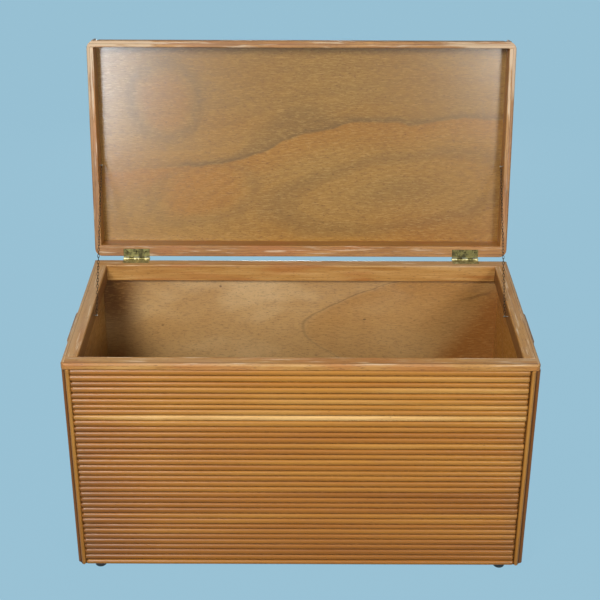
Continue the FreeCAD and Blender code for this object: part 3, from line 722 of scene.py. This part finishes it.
# %% Dress the rails
lid_rim = 0.5 * millimetre
worn_depth = 4.0 * millimetre
worn_past = 1.0 * millimetre
box_worn = (rim_z - worn_depth, rim_z + worn_past)
lid_worn = (lid_rim + worn_depth, lid_rim - worn_past)
lid_trims = solids_of("lid_rim_trims")
lid_corner = Vector((max(high.x for low, high in lid_trims),
                     min(low.y for low, high in lid_trims) - hinge_point.y))
front_rail_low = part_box("front_top_rail")[0]
back_rail_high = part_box("back_top_rail")[1]
box_seam_x = (0.0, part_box("right_top_rail")[1].x)
box_seam_y = ((front_rail_low.y + back_rail_high.y) / 2, (back_rail_high.y - front_rail_low.y) / 2)
lid_seam_x = (0.0, solids_of("lid_right_rail")[0][1].x)
lid_rail_front = solids_of("lid_front_rail")[0][0].y - hinge_point.y
lid_rail_back = solids_of("lid_back_rail")[0][1].y - hinge_point.y
lid_seam_y = ((lid_rail_front + lid_rail_back) / 2, (lid_rail_back - lid_rail_front) / 2)
rim_rail_x = rail_wood("rim_rail_along_x", 0, False, box_worn, wear=0.7, tone=0.02, seam=box_seam_y)
rim_rail_y = rail_wood("rim_rail_along_y", 1, False, box_worn, wear=0.8, tone=0.06, inner_shade=0.85,
                       seam=box_seam_x)
rim_trim_y = rail_wood("rim_trim_along_y", 1, False, box_worn, wear=0.8, tone=0.06)
lid_rail_x = rail_wood("lid_rail_along_x", 0, True, lid_worn, wear=0.65, tone=-0.12, seam=lid_seam_y)
lid_rail_y = rail_wood("lid_rail_along_y", 1, True, lid_worn, wear=0.8, tone=-0.06, inner_shade=0.6,
                       seam=lid_seam_x)
lid_trim_wood = rail_wood("lid_trim_wood", None, True, lid_worn, wear=0.6, tone=-0.15)
dress(rim_rail_x, "front_top_rail", "back_top_rail", "front_top_trim", "back_top_trim", "front_cleat",
      "back_cleat")
dress(rim_rail_y, "left_top_rail", "right_top_rail")
dress(rim_trim_y, "left_top_trim", "right_top_trim", "left_cleat", "right_cleat")
dress(lid_rail_x, "lid_front_rail", "lid_back_rail")
dress(lid_rail_y, "lid_left_rail", "lid_right_rail")
dress(lid_trim_wood, "lid_rim_trims")
print("six rail finishes of about", len(rim_rail_x.node_tree.nodes), "nodes each")

# %% [markdown]
# ## Plywood
# The panels are rotary-cut plywood. The knife follows the log round, so the growth rings show as broad
# islands and long bays, as on a contour map: each ring is dark and olive on one side and fades to honey
# on the other. A wood texture of straight bands would look like a plank. Instead, the lid's figure is drawn
# with a few simple fields that noise shakes: a long bay that climbs to the right, a boat-shaped ring below
# it, and an island and a pool at the left. The back of the box has one arched ring and a few knots, with
# the shadows of both side walls painted on it and painted light towards its bottom. The other panels only
# get soft bays; the left wall's shades are darker, as painted shade. The panels' outer sides, seen in the
# gaps between the reeds, are painted dark as shade.

# %% Veneer helpers
honey = paint(162, 117, 50)
ochre = paint(170, 114, 38)
tan = paint(166, 126, 62)
olive = paint(132, 100, 50)
dark_olive = paint(104, 78, 40)
cream = paint(206, 170, 116)
red_brown = paint(156, 98, 40)
gap_shade_brown = paint(84, 48, 16)


def shaken(tree, place, amount, scale):
    """Coordinates pushed about by slow noise, so that drawn lines wander."""
    made = add(tree, "TexNoise", {"Vector": place, "Scale": scale, "Detail": 3.0, "Roughness": 0.5})
    centred = add(tree, "VectorMath", {0: made.outputs["Color"], 1: (0.5, 0.5, 0.5)}, operation="SUBTRACT")
    scaled = add(tree, "VectorMath", {0: centred.outputs[0], "Scale": amount}, operation="SCALE")
    return add(tree, "VectorMath", {0: place, 1: scaled.outputs[0]}, operation="ADD").outputs[0]


def finish_veneer(finish, tree, shader, place, colour, gloss=(0.3, 0.5), stained=None, shine=0.9):
    """Fine streaks, pores and specks over a drawn figure, under a satin varnish; the side that stained
    marks is painted dark, as shade in the gaps between the reeds, and is dull.
    """
    streak = noise(tree, stretch(tree, place, (75.0, 380.0, 380.0)), 1.0, 4.0, 0.65)
    colour = blend_colours(tree, span(tree, streak, 0.5, 0.68, 0.0, 0.36), colour, paint(112, 76, 30))
    colour = blend_colours(tree, span(tree, streak, 0.5, 0.32, 0.0, 0.36), colour, paint(204, 166, 104))
    pores = noise(tree, stretch(tree, place, (150.0, 480.0, 480.0)), 1.0, 2.0, 0.5)
    pore = span(tree, pores, 0.42, 0.3)
    colour = blend_colours(tree, math_of(tree, "MULTIPLY", pore, 0.5), colour, paint(96, 62, 26))
    spots = add(tree, "TexVoronoi", {"Vector": place, "Scale": 6.0})
    spot = span(tree, spots.outputs["Distance"], 0.018, 0.008)
    colour = blend_colours(tree, math_of(tree, "MULTIPLY", spot, 0.7), colour, paint(78, 48, 22))
    rough = span(tree, streak, 0.3, 0.7, *gloss)
    wire(tree, shader, colour, rough, math_of(tree, "SUBTRACT", streak, pore), 0.16, 0.2)
    shader.inputs["Specular IOR Level"].default_value = shine
    if stained:
        tree.links.new(span(tree, stained, 0.0, 1.0, shine, 0.05), shader.inputs["Specular IOR Level"])
    return finish


print("eight veneer colours, such as tan", [round(v, 2) for v in tan[:3]])

# %% Lid veneer
line_height = 249.5 * millimetre
line_climb = 40.0 * millimetre
line_turn_x = -60.0 * millimetre
line_turn_width = 90.0 * millimetre
line_slope = 0.05
lens_x = -20.0 * millimetre
lens_width = 95.0 * millimetre
lens_rise = 85.0 * millimetre
lens_fade_share = 1.7
band_rise = 14.0 * millimetre
boat_middle, boat_half, boat_tilt = (0.2216, 0.1435), (0.308, 0.0855), math.radians(8)
island_middle, island_half = (-0.298, 0.344), (0.07, 0.0765)
pool_middle, pool_half, pool_tilt = (-0.217, 0.137), (0.1125, 0.061), math.radians(10)


def oval(tree, place, centre, half, tilt):
    """How far out a point lies from an oval's middle: 1 on its edge."""
    sockets = {"Vector": place, "Location": (*centre, 0.0), "Scale": (*half, 1.0), "Rotation": (0, 0, tilt)}
    near = add(tree, "Mapping", sockets, vector_type="TEXTURE").outputs[0]
    flat = add(tree, "VectorMath", {0: near, 1: (1.0, 1.0, 0.0)}, operation="MULTIPLY").outputs[0]
    return add(tree, "VectorMath", {0: flat}, operation="LENGTH").outputs["Value"]


def band(tree, value, start, full, fade, end, amount):
    """A soft band of a value: 0 before start, amount between full and fade, 0 after end."""
    rising = span(tree, value, start, full)
    return math_of(tree, "MULTIPLY", rising, span(tree, value, fade, end, amount, 0.0))


def lid_veneer():
    finish, tree, shader = new_finish("lid_veneer")
    place = lay_along(tree, 0, True)[0]
    upright = stretch(tree, place, (1.0, -1.0, 1.0))
    wander = shaken(tree, upright, 0.045, 8.0)
    parts = add(tree, "SeparateXYZ", {0: wander})
    run = parts.outputs[0]
    turn = math_of(tree, "DIVIDE", math_of(tree, "SUBTRACT", run, line_turn_x), line_turn_width)
    climb = math_of(tree, "MULTIPLY", math_of(tree, "TANH", turn), line_climb)
    slope = math_of(tree, "MULTIPLY", run, line_slope)
    line = math_of(tree, "ADD", math_of(tree, "ADD", climb, line_height), slope)
    above = math_of(tree, "SUBTRACT", parts.outputs[1], line)
    from_lens = math_of(tree, "ABSOLUTE", math_of(tree, "SUBTRACT", run, lens_x))
    thick = span(tree, from_lens, 0.0, lens_width * lens_fade_share, lens_rise, band_rise)
    rise_share = math_of(tree, "DIVIDE", above, thick)
    boat = oval(tree, wander, boat_middle, boat_half, boat_tilt)
    island = oval(tree, wander, island_middle, island_half, 0.0)
    pool = oval(tree, wander, pool_middle, pool_half, pool_tilt)
    colour = ramp(tree, noise(tree, stretch(tree, wander, (2.0, 5.0, 1.0)), 1.5, 2.0),
                  ((0.3, honey), (0.6, tan)), smooth=False)
    colour = blend_colours(tree, band(tree, above, -0.07, -0.004, -0.004, 0.002, 0.6), colour, ochre)
    from_left = span(tree, run, -0.34, -0.2)
    bay = math_of(tree, "MULTIPLY", band(tree, rise_share, -0.05, 0.05, 0.3, 1.15, 0.6), from_left)
    colour = blend_colours(tree, bay, colour, olive)
    fading = math_of(tree, "MULTIPLY", from_left, span(tree, run, 0.08, 0.3, 0.42, 0.18))
    line_ink = math_of(tree, "MULTIPLY", band(tree, above, -0.003, 0.001, 0.001, 0.01, 1.0), fading)
    colour = blend_colours(tree, line_ink, colour, dark_olive)
    below = span(tree, above, 0.0, -0.02)
    ring = math_of(tree, "MULTIPLY", band(tree, boat, 0.66, 0.86, 0.92, 1.12, 0.45), below)
    colour = blend_colours(tree, ring, colour, olive)
    inner = math_of(tree, "MULTIPLY", span(tree, boat, 0.5, 0.1, 0.0, 0.35), below)
    colour = blend_colours(tree, inner, colour, olive)
    colour = blend_colours(tree, span(tree, pool, 1.0, 0.5, 0.0, 0.6), colour, ochre)
    colour = blend_colours(tree, band(tree, pool, 0.85, 1.02, 1.05, 1.3, 0.25), colour, olive)
    colour = blend_colours(tree, span(tree, island, 1.0, 0.5, 0.0, 0.5), colour, ochre)
    colour = blend_colours(tree, band(tree, island, 0.8, 1.02, 1.06, 1.4, 0.5), colour, olive)
    rings_above = math_of(tree, "MULTIPLY", above, 26.0)
    rings_below = math_of(tree, "MULTIPLY", boat, 7.0)
    rings = math_of(tree, "FRACT", blend_colours(tree, below, rings_above, rings_below))
    colour = blend_colours(tree, band(tree, rings, 0.0, 0.1, 0.1, 0.9, 0.12), colour, dark_olive)
    across = add(tree, "SeparateXYZ", {0: upright})
    colour = blend_colours(tree, span(tree, across.outputs[1], 0.22, 0.36, 0.0, 0.22), colour, dark_olive)
    at_right = span(tree, across.outputs[0], 0.1, 0.3)
    low_right = math_of(tree, "MULTIPLY", at_right, span(tree, across.outputs[1], 0.16, 0.05))
    colour = blend_colours(tree, math_of(tree, "MULTIPLY", low_right, 0.3), colour, red_brown)
    return finish_veneer(finish, tree, shader, place, colour, (0.21, 0.27), shine=0.5)


lid_finish = lid_veneer()
dress(lid_finish, "lid_panel")
print("lid veneer has", len(lid_finish.node_tree.nodes), "nodes")

# %% Box veneers
arch_tip_x = 5.0 * millimetre
arch_middle_z = 322.0 * millimetre
arch_bend = 14.0
outer_side_edge = 0.5 * millimetre
# Each knot: its middle across and up, its half width and half height, its tilt and its strength
knots = ((0.142, 0.352, 0.005, 0.004, 0.0, 0.8), (-0.184, 0.425, 0.004, 0.003, 0.0, 0.7),
         (-0.313, 0.333, 0.003, 0.003, 0.0, 0.7), (0.395, 0.405, 0.05, 0.006, 0.35, 0.4))


def back_veneer():
    finish, tree, shader = new_finish("back_veneer")
    place = lay_along(tree, 0, False)[0]
    wander = shaken(tree, place, 0.05, 6.0)
    parts = add(tree, "SeparateXYZ", {0: wander})
    off = math_of(tree, "SUBTRACT", parts.outputs[2], arch_middle_z)
    bow = math_of(tree, "MULTIPLY", math_of(tree, "MULTIPLY", off, off), arch_bend)
    reach = math_of(tree, "SUBTRACT", math_of(tree, "SUBTRACT", parts.outputs[0], arch_tip_x), bow)
    clouds = noise(tree, stretch(tree, wander, (4.0, 8.0, 8.0)), 1.0, 3.0, 0.55)
    colour = ramp(tree, clouds, ((0.36, paint(178, 134, 76)), (0.5, paint(188, 148, 94)),
                                 (0.66, paint(210, 176, 126))), smooth=False)
    colour = blend_colours(tree, band(tree, reach, 0.0, 0.02, 0.02, 0.25, 0.4), colour, ochre)
    colour = blend_colours(tree, band(tree, reach, -0.006, 0.0, 0.0, 0.006, 0.6), colour, dark_olive)
    colour = blend_colours(tree, span(tree, parts.outputs[0], 0.0, 0.4, 0.0, 0.45), colour, ochre)
    # Painted light: the back turns paler towards the bottom.
    colour = blend_colours(tree, span(tree, parts.outputs[2], 0.42, 0.28, 0.0, 0.4), colour, cream)
    # Painted shadow of the left wall on the back: dark towards the left corner, most at the top.
    left_wall_shadow = math_of(tree, "MULTIPLY", span(tree, parts.outputs[0], -0.33, -0.41),
                    span(tree, parts.outputs[2], 0.28, 0.4, 0.35, 0.95))
    colour = blend_colours(tree, left_wall_shadow, colour, paint(98, 56, 6))
    # Painted shadow of the right wall on the back: dark orange below a slanting edge at the lower right.
    right_wall_shadow_slant = math_of(tree, "SUBTRACT", parts.outputs[0], math_of(tree, "MULTIPLY", parts.outputs[2], 0.76))
    colour = blend_colours(tree, span(tree, right_wall_shadow_slant, 0.08, 0.16, 0.0, 0.75), colour, paint(146, 82, 8))
    upright = add(tree, "CombineXYZ", {0: parts.outputs[0], 1: parts.outputs[2]}).outputs[0]
    for across, up, half_width, half_height, tilt, strength in knots:
        near = oval(tree, upright, (across, up), (half_width, half_height), tilt)
        colour = blend_colours(tree, span(tree, near, 1.0, 0.4, 0.0, strength), colour, paint(84, 50, 18))
    # The outer side is painted dark: painted shade in the gaps between the reeds.
    outside = outer_side(tree, place, 1, middle_of("back_panel", 1))
    colour = blend_colours(tree, outside, colour, gap_shade_brown)
    return finish_veneer(finish, tree, shader, place, colour, stained=outside)


def outer_side(tree, upright, axis, from_place):
    """1 on the side of a panel that lies beyond a place, else 0."""
    parts = add(tree, "SeparateXYZ", {0: upright})
    reach = math_of(tree, "ABSOLUTE", parts.outputs[axis]) if from_place > 0 else parts.outputs[axis]
    edge = math.copysign(outer_side_edge, from_place)
    return span(tree, reach, from_place, from_place + edge)


def quiet_veneer(name, run_axis, shades, stained):
    """A veneer with soft bays between three shades; stained names an axis and a place, past which the
    panel's outer side is painted dark, as shade in the gaps between the reeds.
    """
    finish, tree, shader = new_finish(name)
    place, upright = lay_along(tree, run_axis, False)
    field = noise(tree, stretch(tree, place, (1.2, 3.0, 3.0)), 2.0, 2.0, 0.45, 0.6)
    rings = math_of(tree, "FRACT", math_of(tree, "MULTIPLY", field, 5.0))
    first, second, third = shades
    colour = ramp(tree, rings, ((0.0, first), (0.3, second), (0.7, third), (0.95, second)), smooth=False)
    outside = outer_side(tree, upright, *stained) if stained else None
    # The outer side is painted dark: painted shade in the gaps between the reeds.
    if stained:
        colour = blend_colours(tree, outside, colour, gap_shade_brown)
    return finish_veneer(finish, tree, shader, place, colour, stained=outside)


def middle_of(node, axis):
    low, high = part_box(node)
    return (low[axis] + high[axis]) / 2


dress(back_veneer(), "back_panel")
front_outer_side = (1, middle_of("front_panel", 1))
dress(quiet_veneer("front_veneer", 0, (olive, honey, tan), front_outer_side), "front_panel")
dress(quiet_veneer("bottom_veneer", 0, (olive, honey, tan), None), "bottom_panel")
# The left wall gets darker, more saturated shades than the other panels: painted shade.
left_wall_shaded_brown = paint(148, 100, 36)
left_wall_shaded_gold = paint(170, 124, 54)
left_outer_side = (0, middle_of("left_panel", 0))
right_outer_side = (0, middle_of("right_panel", 0))
dress(quiet_veneer("left_veneer", 1, (left_wall_shaded_brown, left_wall_shaded_gold, left_wall_shaded_brown), left_outer_side), "left_panel")
dress(quiet_veneer("right_veneer", 1, (red_brown, ochre, ochre), right_outer_side), "right_panel")
print("box panels dressed")

# %% [markdown]
# ## Handles
# Each side has a wooden cleat with sloped ends and a slot underneath for the fingers. Modelling it from a
# cube follows how it is made: cut the bar, slope the ends by drawing in the outer face, round the edges that
# a hand meets with a bevel, and rout the slot by slicing its mouth into the underside and extruding that
# up into the bar. The face that the extrusion starts from is left across the mouth.

# %% Handles
handle_slope = 12.0 * millimetre
handle_edge = 5.0 * millimetre
slot_length = 84.0 * millimetre
slot_width = 9.0 * millimetre
slot_wall = 3.5 * millimetre
slot_depth = 18.0 * millimetre
edge_steps = 4
facing_down = -0.9


def edges_where(bm, test):
    return [e for e in bm.edges if test((e.verts[0].co + e.verts[1].co) / 2)]


def rounded(bm, edges, radius, segments):
    bmesh.ops.bevel(bm, geom=edges, offset=radius, offset_type="OFFSET", affect="EDGES", segments=segments,
                    profile=0.5, material=-1, clamp_overlap=True)


def vertices_in(geometry):
    return [v for v in geometry if isinstance(v, bmesh.types.BMVert)]


def handle_piece(node, side, finish):
    """A bar with sloped ends and a finger slot; side is -1 at the left and 1 at the right."""
    low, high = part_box(node)
    size = high - low
    bm = bmesh.new()
    bmesh.ops.create_cube(bm, size=1.0)
    bmesh.ops.scale(bm, vec=size, verts=bm.verts)
    bmesh.ops.translate(bm, vec=(low + high) / 2, verts=bm.verts)
    outer_x = high.x if side > 0 else low.x
    middle_y = (low.y + high.y) / 2
    for vert in [v for v in bm.verts if abs(v.co.x - outer_x) < millimetre]:
        inward = -1 if vert.co.y > middle_y else 1
        bmesh.ops.translate(bm, vec=(0, inward * handle_slope, 0), verts=[vert])
    rounded(bm, edges_where(bm, lambda p: abs(p.x - outer_x) < millimetre), handle_edge, edge_steps)
    seat_x = low.x if side > 0 else high.x
    slot_x = seat_x + side * (slot_wall + slot_width / 2)
    cuts = ((slot_x - slot_width / 2, 0), (slot_x + slot_width / 2, 0), (middle_y - slot_length / 2, 1),
            (middle_y + slot_length / 2, 1))
    for place, axis in cuts:
        under = [f for f in bm.faces
                 if f.normal.z < facing_down and f.calc_center_median().z < low.z + millimetre]
        parts = under + [e for f in under for e in f.edges] + [v for f in under for v in f.verts]
        bmesh.ops.bisect_plane(bm, geom=list(set(parts)), dist=1e-6, plane_co=axes[axis] * place,
                               plane_no=axes[axis])
    mouth = [f for f in bm.faces if f.normal.z < facing_down
             and abs(f.calc_center_median().x - slot_x) < slot_width / 2
             and abs(f.calc_center_median().y - middle_y) < slot_length / 2]
    roof = bmesh.ops.extrude_face_region(bm, geom=mouth)["geom"]
    bmesh.ops.translate(bm, vec=(0, 0, slot_depth), verts=vertices_in(roof))
    print(node, "has", len(bm.faces), "faces")
    show(node + "_rounded", bm, node, finish)


handle_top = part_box("left_handle")[1].z
handle_worn = (handle_top - 12.0 * millimetre, handle_top + 2.0 * millimetre)
handle_finish = rail_wood("handle_wood", 1, False, handle_worn, wear=0.35, tone=-0.03)
sides = (("left", -1), ("right", 1))
for side_name, side in sides:
    handle_piece(side_name + "_handle", side, handle_finish)

# %% [markdown]
# ## Metal and rubber
# The hinges and their screws are old brass, brown and green where it is stained. The leaves of the box,
# which face up, and their screws get a brighter copy of the brass, as painted light. The chains and the
# other screws are dulled steel with dark stains. The feet are black rubber with a dusty bloom. Plain metal
# with one colour would look new, so each metal takes its colour and its roughness from the same cloudy
# noise: where it is stained it is also duller.

# %% Metal and rubber finishes
def old_metal(name, bright, stained, dull_from, scale):
    finish, tree, shader = new_finish(name)
    place = add(tree, "TexCoord").outputs["Object"]
    cloud = noise(tree, place, scale, 5.0, 0.65)
    scratch = noise(tree, stretch(tree, place, (30.0, 900.0, 900.0)), 1.0, 2.0)
    stain = span(tree, math_of(tree, "ADD", cloud, math_of(tree, "MULTIPLY", scratch, 0.2)), 0.45, 0.72)
    colour = blend_colours(tree, stain, bright, stained)
    wire(tree, shader, colour, span(tree, stain, 0.0, 1.0, dull_from, 0.62), scratch, 0.15, 0.05)
    shader.inputs["Metallic"].default_value = 0.85
    return finish


def bumper_rubber():
    finish, tree, shader = new_finish("bumper_rubber")
    place = add(tree, "TexCoord").outputs["Object"]
    dust = noise(tree, place, 220.0, 4.0, 0.6)
    colour = ramp(tree, dust, ((0.35, paint(20, 20, 21)), (0.75, paint(52, 50, 47))), smooth=False)
    wire(tree, shader, colour, span(tree, dust, 0.3, 0.7, 0.6, 0.85), dust, 0.2, 0.1)
    return finish


brass_finish = old_metal("old_brass", paint(122, 110, 62), paint(66, 58, 32), 0.36, 90.0)
steel_finish = old_metal("old_steel", paint(190, 182, 168), paint(96, 82, 66), 0.25, 260.0)
chain_finish = old_metal("dark_chain_steel", paint(104, 84, 62), paint(34, 25, 18), 0.3, 260.0)
rubber_finish = bumper_rubber()
# A brighter copy of the brass for the box's leaves, which face up: painted light.
brass_painted_lit = old_metal("brass_painted_lit", paint(206, 190, 140), paint(140, 124, 80), 0.4, 90.0)
dress(brass_finish, "left_lid_leaf", "right_lid_leaf", "left_hinge_pin", "right_hinge_pin")
dress(brass_painted_lit, "left_box_leaf", "right_box_leaf")
print("metals:", brass_finish.name, "and", steel_finish.name)

# %% [markdown]
# ## Screws
# The CAD screws have six flat sides, which is enough to find their places and sizes. A real screw head is
# turned on a lathe and then slotted. Spin does the lathe's work: a short profile goes once round the axis.
# The slot is made by slicing the head's face along two lines and extruding the strip between them down
# into the head. The faces that the extrusion starts from are left across the slot.

# %% Screws
screw_steps = 16
slot_width_share = 0.16
pan_slot_width_share = 0.15
slot_depth_share = 0.4
pan_rise_share = 0.32
pan_shank_share = 0.44


def turned(profile, steps):
    """A profile of (radius, height) pairs, spun once round Z."""
    bm = bmesh.new()
    verts = [bm.verts.new((radius, 0, height)) for radius, height in profile]
    edges = [bm.edges.new(pair) for pair in zip(verts, verts[1:])]
    bmesh.ops.spin(bm, geom=verts + edges, cent=(0, 0, 0), axis=(0, 0, 1), angle=math.tau, steps=steps,
                   use_merge=True)
    bmesh.ops.remove_doubles(bm, verts=bm.verts, dist=0.001 * millimetre)
    bmesh.ops.recalc_face_normals(bm, faces=bm.faces)
    return bm


def slotted(bm, top, width, depth):
    """Sink a slot into the flat top of a turned head."""
    for place in (-width / 2, width / 2):
        geometry = list(bm.verts) + list(bm.edges) + list(bm.faces)
        bmesh.ops.bisect_plane(bm, geom=geometry, dist=1e-7, plane_co=(0, place, 0), plane_no=(0, 1, 0))
    mouth = [f for f in bm.faces if f.normal.z > 0.6 and abs(f.calc_center_median().y) < width / 2
             and f.calc_center_median().z > top - depth]
    sunk = bmesh.ops.extrude_face_region(bm, geom=mouth)["geom"]
    bmesh.ops.translate(bm, vec=(0, 0, -depth), verts=vertices_in(sunk))


def flat_screw(head, shank, length):
    """Countersunk: its face lies at height 0 and it points down."""
    sink = (head - shank) / 2
    bm = turned(((0, 0), (head / 2 - sink * 0.08, 0), (head / 2, -sink * 0.1), (shank / 2, -sink),
                 (shank / 2, -length), (0, -length)), screw_steps)
    slotted(bm, 0.0, head * slot_width_share, sink * slot_depth_share)
    return bm


def pan_screw(head, rise, shank, length):
    """Its seat lies at height 0, with a low dome above and the shank below."""
    bm = turned(((0, rise), (head * 0.3, rise * 0.94), (head * 0.44, rise * 0.6), (head / 2, 0),
                 (shank / 2, 0), (shank / 2, -length), (0, -length)), screw_steps)
    slotted(bm, rise, head * pan_slot_width_share, rise * slot_depth_share)
    return bm


def set_screws(node, facing, make, finish):
    """One turned screw for each solid of a node; facing gives the way that a head at a place looks."""
    whole = bmesh.new()
    boxes = solids_of(node)
    for low, high in boxes:
        middle = (low + high) / 2
        look = Vector(facing(middle))
        head_point = middle + look * (abs((high - low).dot(look)) / 2)
        part = make((high - low), look)
        twist = Matrix.Rotation(chance.uniform(0, math.tau), 4, "Z")
        aim = Vector((0, 0, 1)).rotation_difference(look).to_matrix().to_4x4()
        bmesh.ops.transform(part, matrix=Matrix.Translation(head_point) @ aim @ twist, verts=part.verts)
        add_part(whole, part)
    print(node, "has", len(boxes), "screws of", len(whole.faces), "faces in all")
    show(node + "_turned", whole, node, finish)


def leaf_screw(size, look):
    """A countersunk screw that stands upright, so the way it looks isn't needed for its size."""
    head = max(size.x, size.y)
    return flat_screw(head, head / 2, size.z)


def proud_screw(size, look):
    """A pan head, drawn down by its own height so that its top meets the CAD screw's top."""
    run = abs(size.dot(look))
    head = max(size[axis] for axis in range(3) if abs(look[axis]) < 0.5)
    rise = head * pan_rise_share
    bm = pan_screw(head, rise, head * pan_shank_share, run - rise)
    bmesh.ops.translate(bm, vec=(0, 0, -rise), verts=bm.verts)
    return bm


def inward_of(middle):
    return (-1 if middle.x > 0 else 1, 0, 0)


def up_at(middle):
    return (0, 0, 1)


def down_at(middle):
    return (0, 0, -1)


set_screws("box_leaf_screws", up_at, leaf_screw, brass_painted_lit)
set_screws("lid_leaf_screws", down_at, leaf_screw, brass_finish)
for node in ("box_chain_screws", "lid_chain_screws", "handle_screws"):
    set_screws(node, inward_of, proud_screw, steel_finish)
set_screws("foot_screws", down_at, proud_screw, steel_finish)

# %% [markdown]
# ## Feet
# Four low rubber bumpers lift the chest off the floor. Each is a tapered disc with rounded rims and a well
# for its screw, so it is one more turned profile, copied to the four places that the CAD gives.

# %% Feet
foot_well = 4.5 * millimetre
foot_well_depth = 5.0 * millimetre
foot_rim = 1.2 * millimetre
foot_taper = 2.0 * millimetre
foot_bore = 2.0 * millimetre
foot_steps = 24


def turned_feet():
    whole = bmesh.new()
    boxes = solids_of("feet")
    for low, high in boxes:
        top = (high.x - low.x) / 2
        tread = top - foot_taper
        rise = high.z - low.z
        part = turned(((foot_bore, rise), (top - foot_rim, rise), (top, rise - foot_rim), (tread, foot_rim),
                       (tread - foot_rim, 0), (foot_well, 0), (foot_well, foot_well_depth),
                       (foot_bore, foot_well_depth), (foot_bore, rise)), foot_steps)
        middle = (low + high) / 2
        bmesh.ops.translate(part, vec=(middle.x, middle.y, low.z), verts=part.verts)
        add_part(whole, part)
    print(len(boxes), "feet of", len(whole.faces), "faces in all")
    show("feet_turned", whole, "feet", rubber_finish)


turned_feet()

# %% [markdown]
# ## Chains
# Each stay is a fine chain of oval links, every other one turned square to its neighbours, drawn tight
# between a screw in the box and one in the lid. One link is a short piece of wire bent round: the wire's
# section is spun half round one end, drawn along, spun half round the other end and welded shut. Copies
# then follow the line from screw to screw.

# %% Chains
link_pitch = 7.3 * millimetre
link_wire = 1.2 * millimetre
link_gap = 2.4 * millimetre
link_play = 0.2 * millimetre
head_to_chain = 2.6 * millimetre
chain_shank = 2.0 * millimetre
wire_sides = 6
bend_steps = 4


def oval_link(inner_length):
    """One closed link: its long side along X, lying flat in XY."""
    bm = bmesh.new()
    bend = (link_gap + link_wire) / 2
    straight = inner_length + link_wire - bend * 2
    made = bmesh.ops.create_circle(bm, segments=wire_sides, radius=link_wire / 2)
    bmesh.ops.rotate(bm, cent=(0, 0, 0), matrix=Matrix.Rotation(math.pi / 2, 3, "Y"), verts=made["verts"])
    bmesh.ops.translate(bm, vec=(-straight / 2, -bend, 0), verts=made["verts"])
    section = list(bm.edges)
    for end in (1, -1):
        pulled = bmesh.ops.extrude_edge_only(bm, edges=section)["geom"]
        verts = vertices_in(pulled)
        edges = [e for e in pulled if isinstance(e, bmesh.types.BMEdge)]
        bmesh.ops.translate(bm, vec=(end * straight, 0, 0), verts=verts)
        turned_end = bmesh.ops.spin(bm, geom=verts + edges, cent=(end * straight / 2, 0, 0), axis=(0, 0, 1),
                                    angle=math.pi, steps=bend_steps)["geom_last"]
        section = [e for e in turned_end if isinstance(e, bmesh.types.BMEdge)]
    bmesh.ops.remove_doubles(bm, verts=bm.verts, dist=0.01 * millimetre)
    return bm


def chain_piece(side_name, side):
    """Links from the box's screw to the lid's."""
    box_low, box_high = [b for b in solids_of("box_chain_screws") if b[0].x * side > 0][0]
    lid_low, lid_high = [b for b in solids_of("lid_chain_screws") if b[0].x * side > 0][0]
    start = (box_low + box_high) / 2
    finish = (lid_low + lid_high) / 2
    start.x = side * (min(abs(box_low.x), abs(box_high.x)) + head_to_chain)
    finish.x = side * (min(abs(lid_low.x), abs(lid_high.x)) + head_to_chain)
    finish = swing_open @ finish
    along = (finish - start).normalized()
    count = 2 * round((finish - start).length / link_pitch / 2) + 1
    pitch = ((finish - start).length + chain_shank + link_play) / count
    first = (pitch + link_play) / 2 - chain_shank / 2 - link_play
    flat = (axes[0] - along * along.x).normalized()
    square = flat.cross(along)
    whole = bmesh.new()
    for index in range(count):
        part = oval_link(pitch + link_play)
        normal = flat if index % 2 == 0 else square
        across = normal.cross(along)
        turn = Matrix((along, across, normal)).transposed().to_4x4()
        place = Matrix.Translation(start + along * (first + pitch * index))
        bmesh.ops.transform(part, matrix=place @ turn, verts=part.verts)
        add_part(whole, part)
    print(side_name, "chain has", count, "links of", len(whole.faces), "faces in all")
    mesh = to_mesh(side_name + "_chain_links", whole, chain_finish)
    piece = into_scene(side_name + "_chain_links", mesh)
    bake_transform(piece)
    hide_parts(side_name + "_chain")


for side_name, side in sides:
    chain_piece(side_name, side)

# %% [markdown]
# ## Sizes and the end
# The dressed chest must stay inside the box of the solid one, so the growth of its box over the solid one's is
# printed.

# %% Compare sizes and finish
visual_low, visual_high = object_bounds()
growth = (visual_high - visual_low) - (cad_high - cad_low)
print("visual box grew by", [round(v / millimetre, 2) for v in growth], "mm")
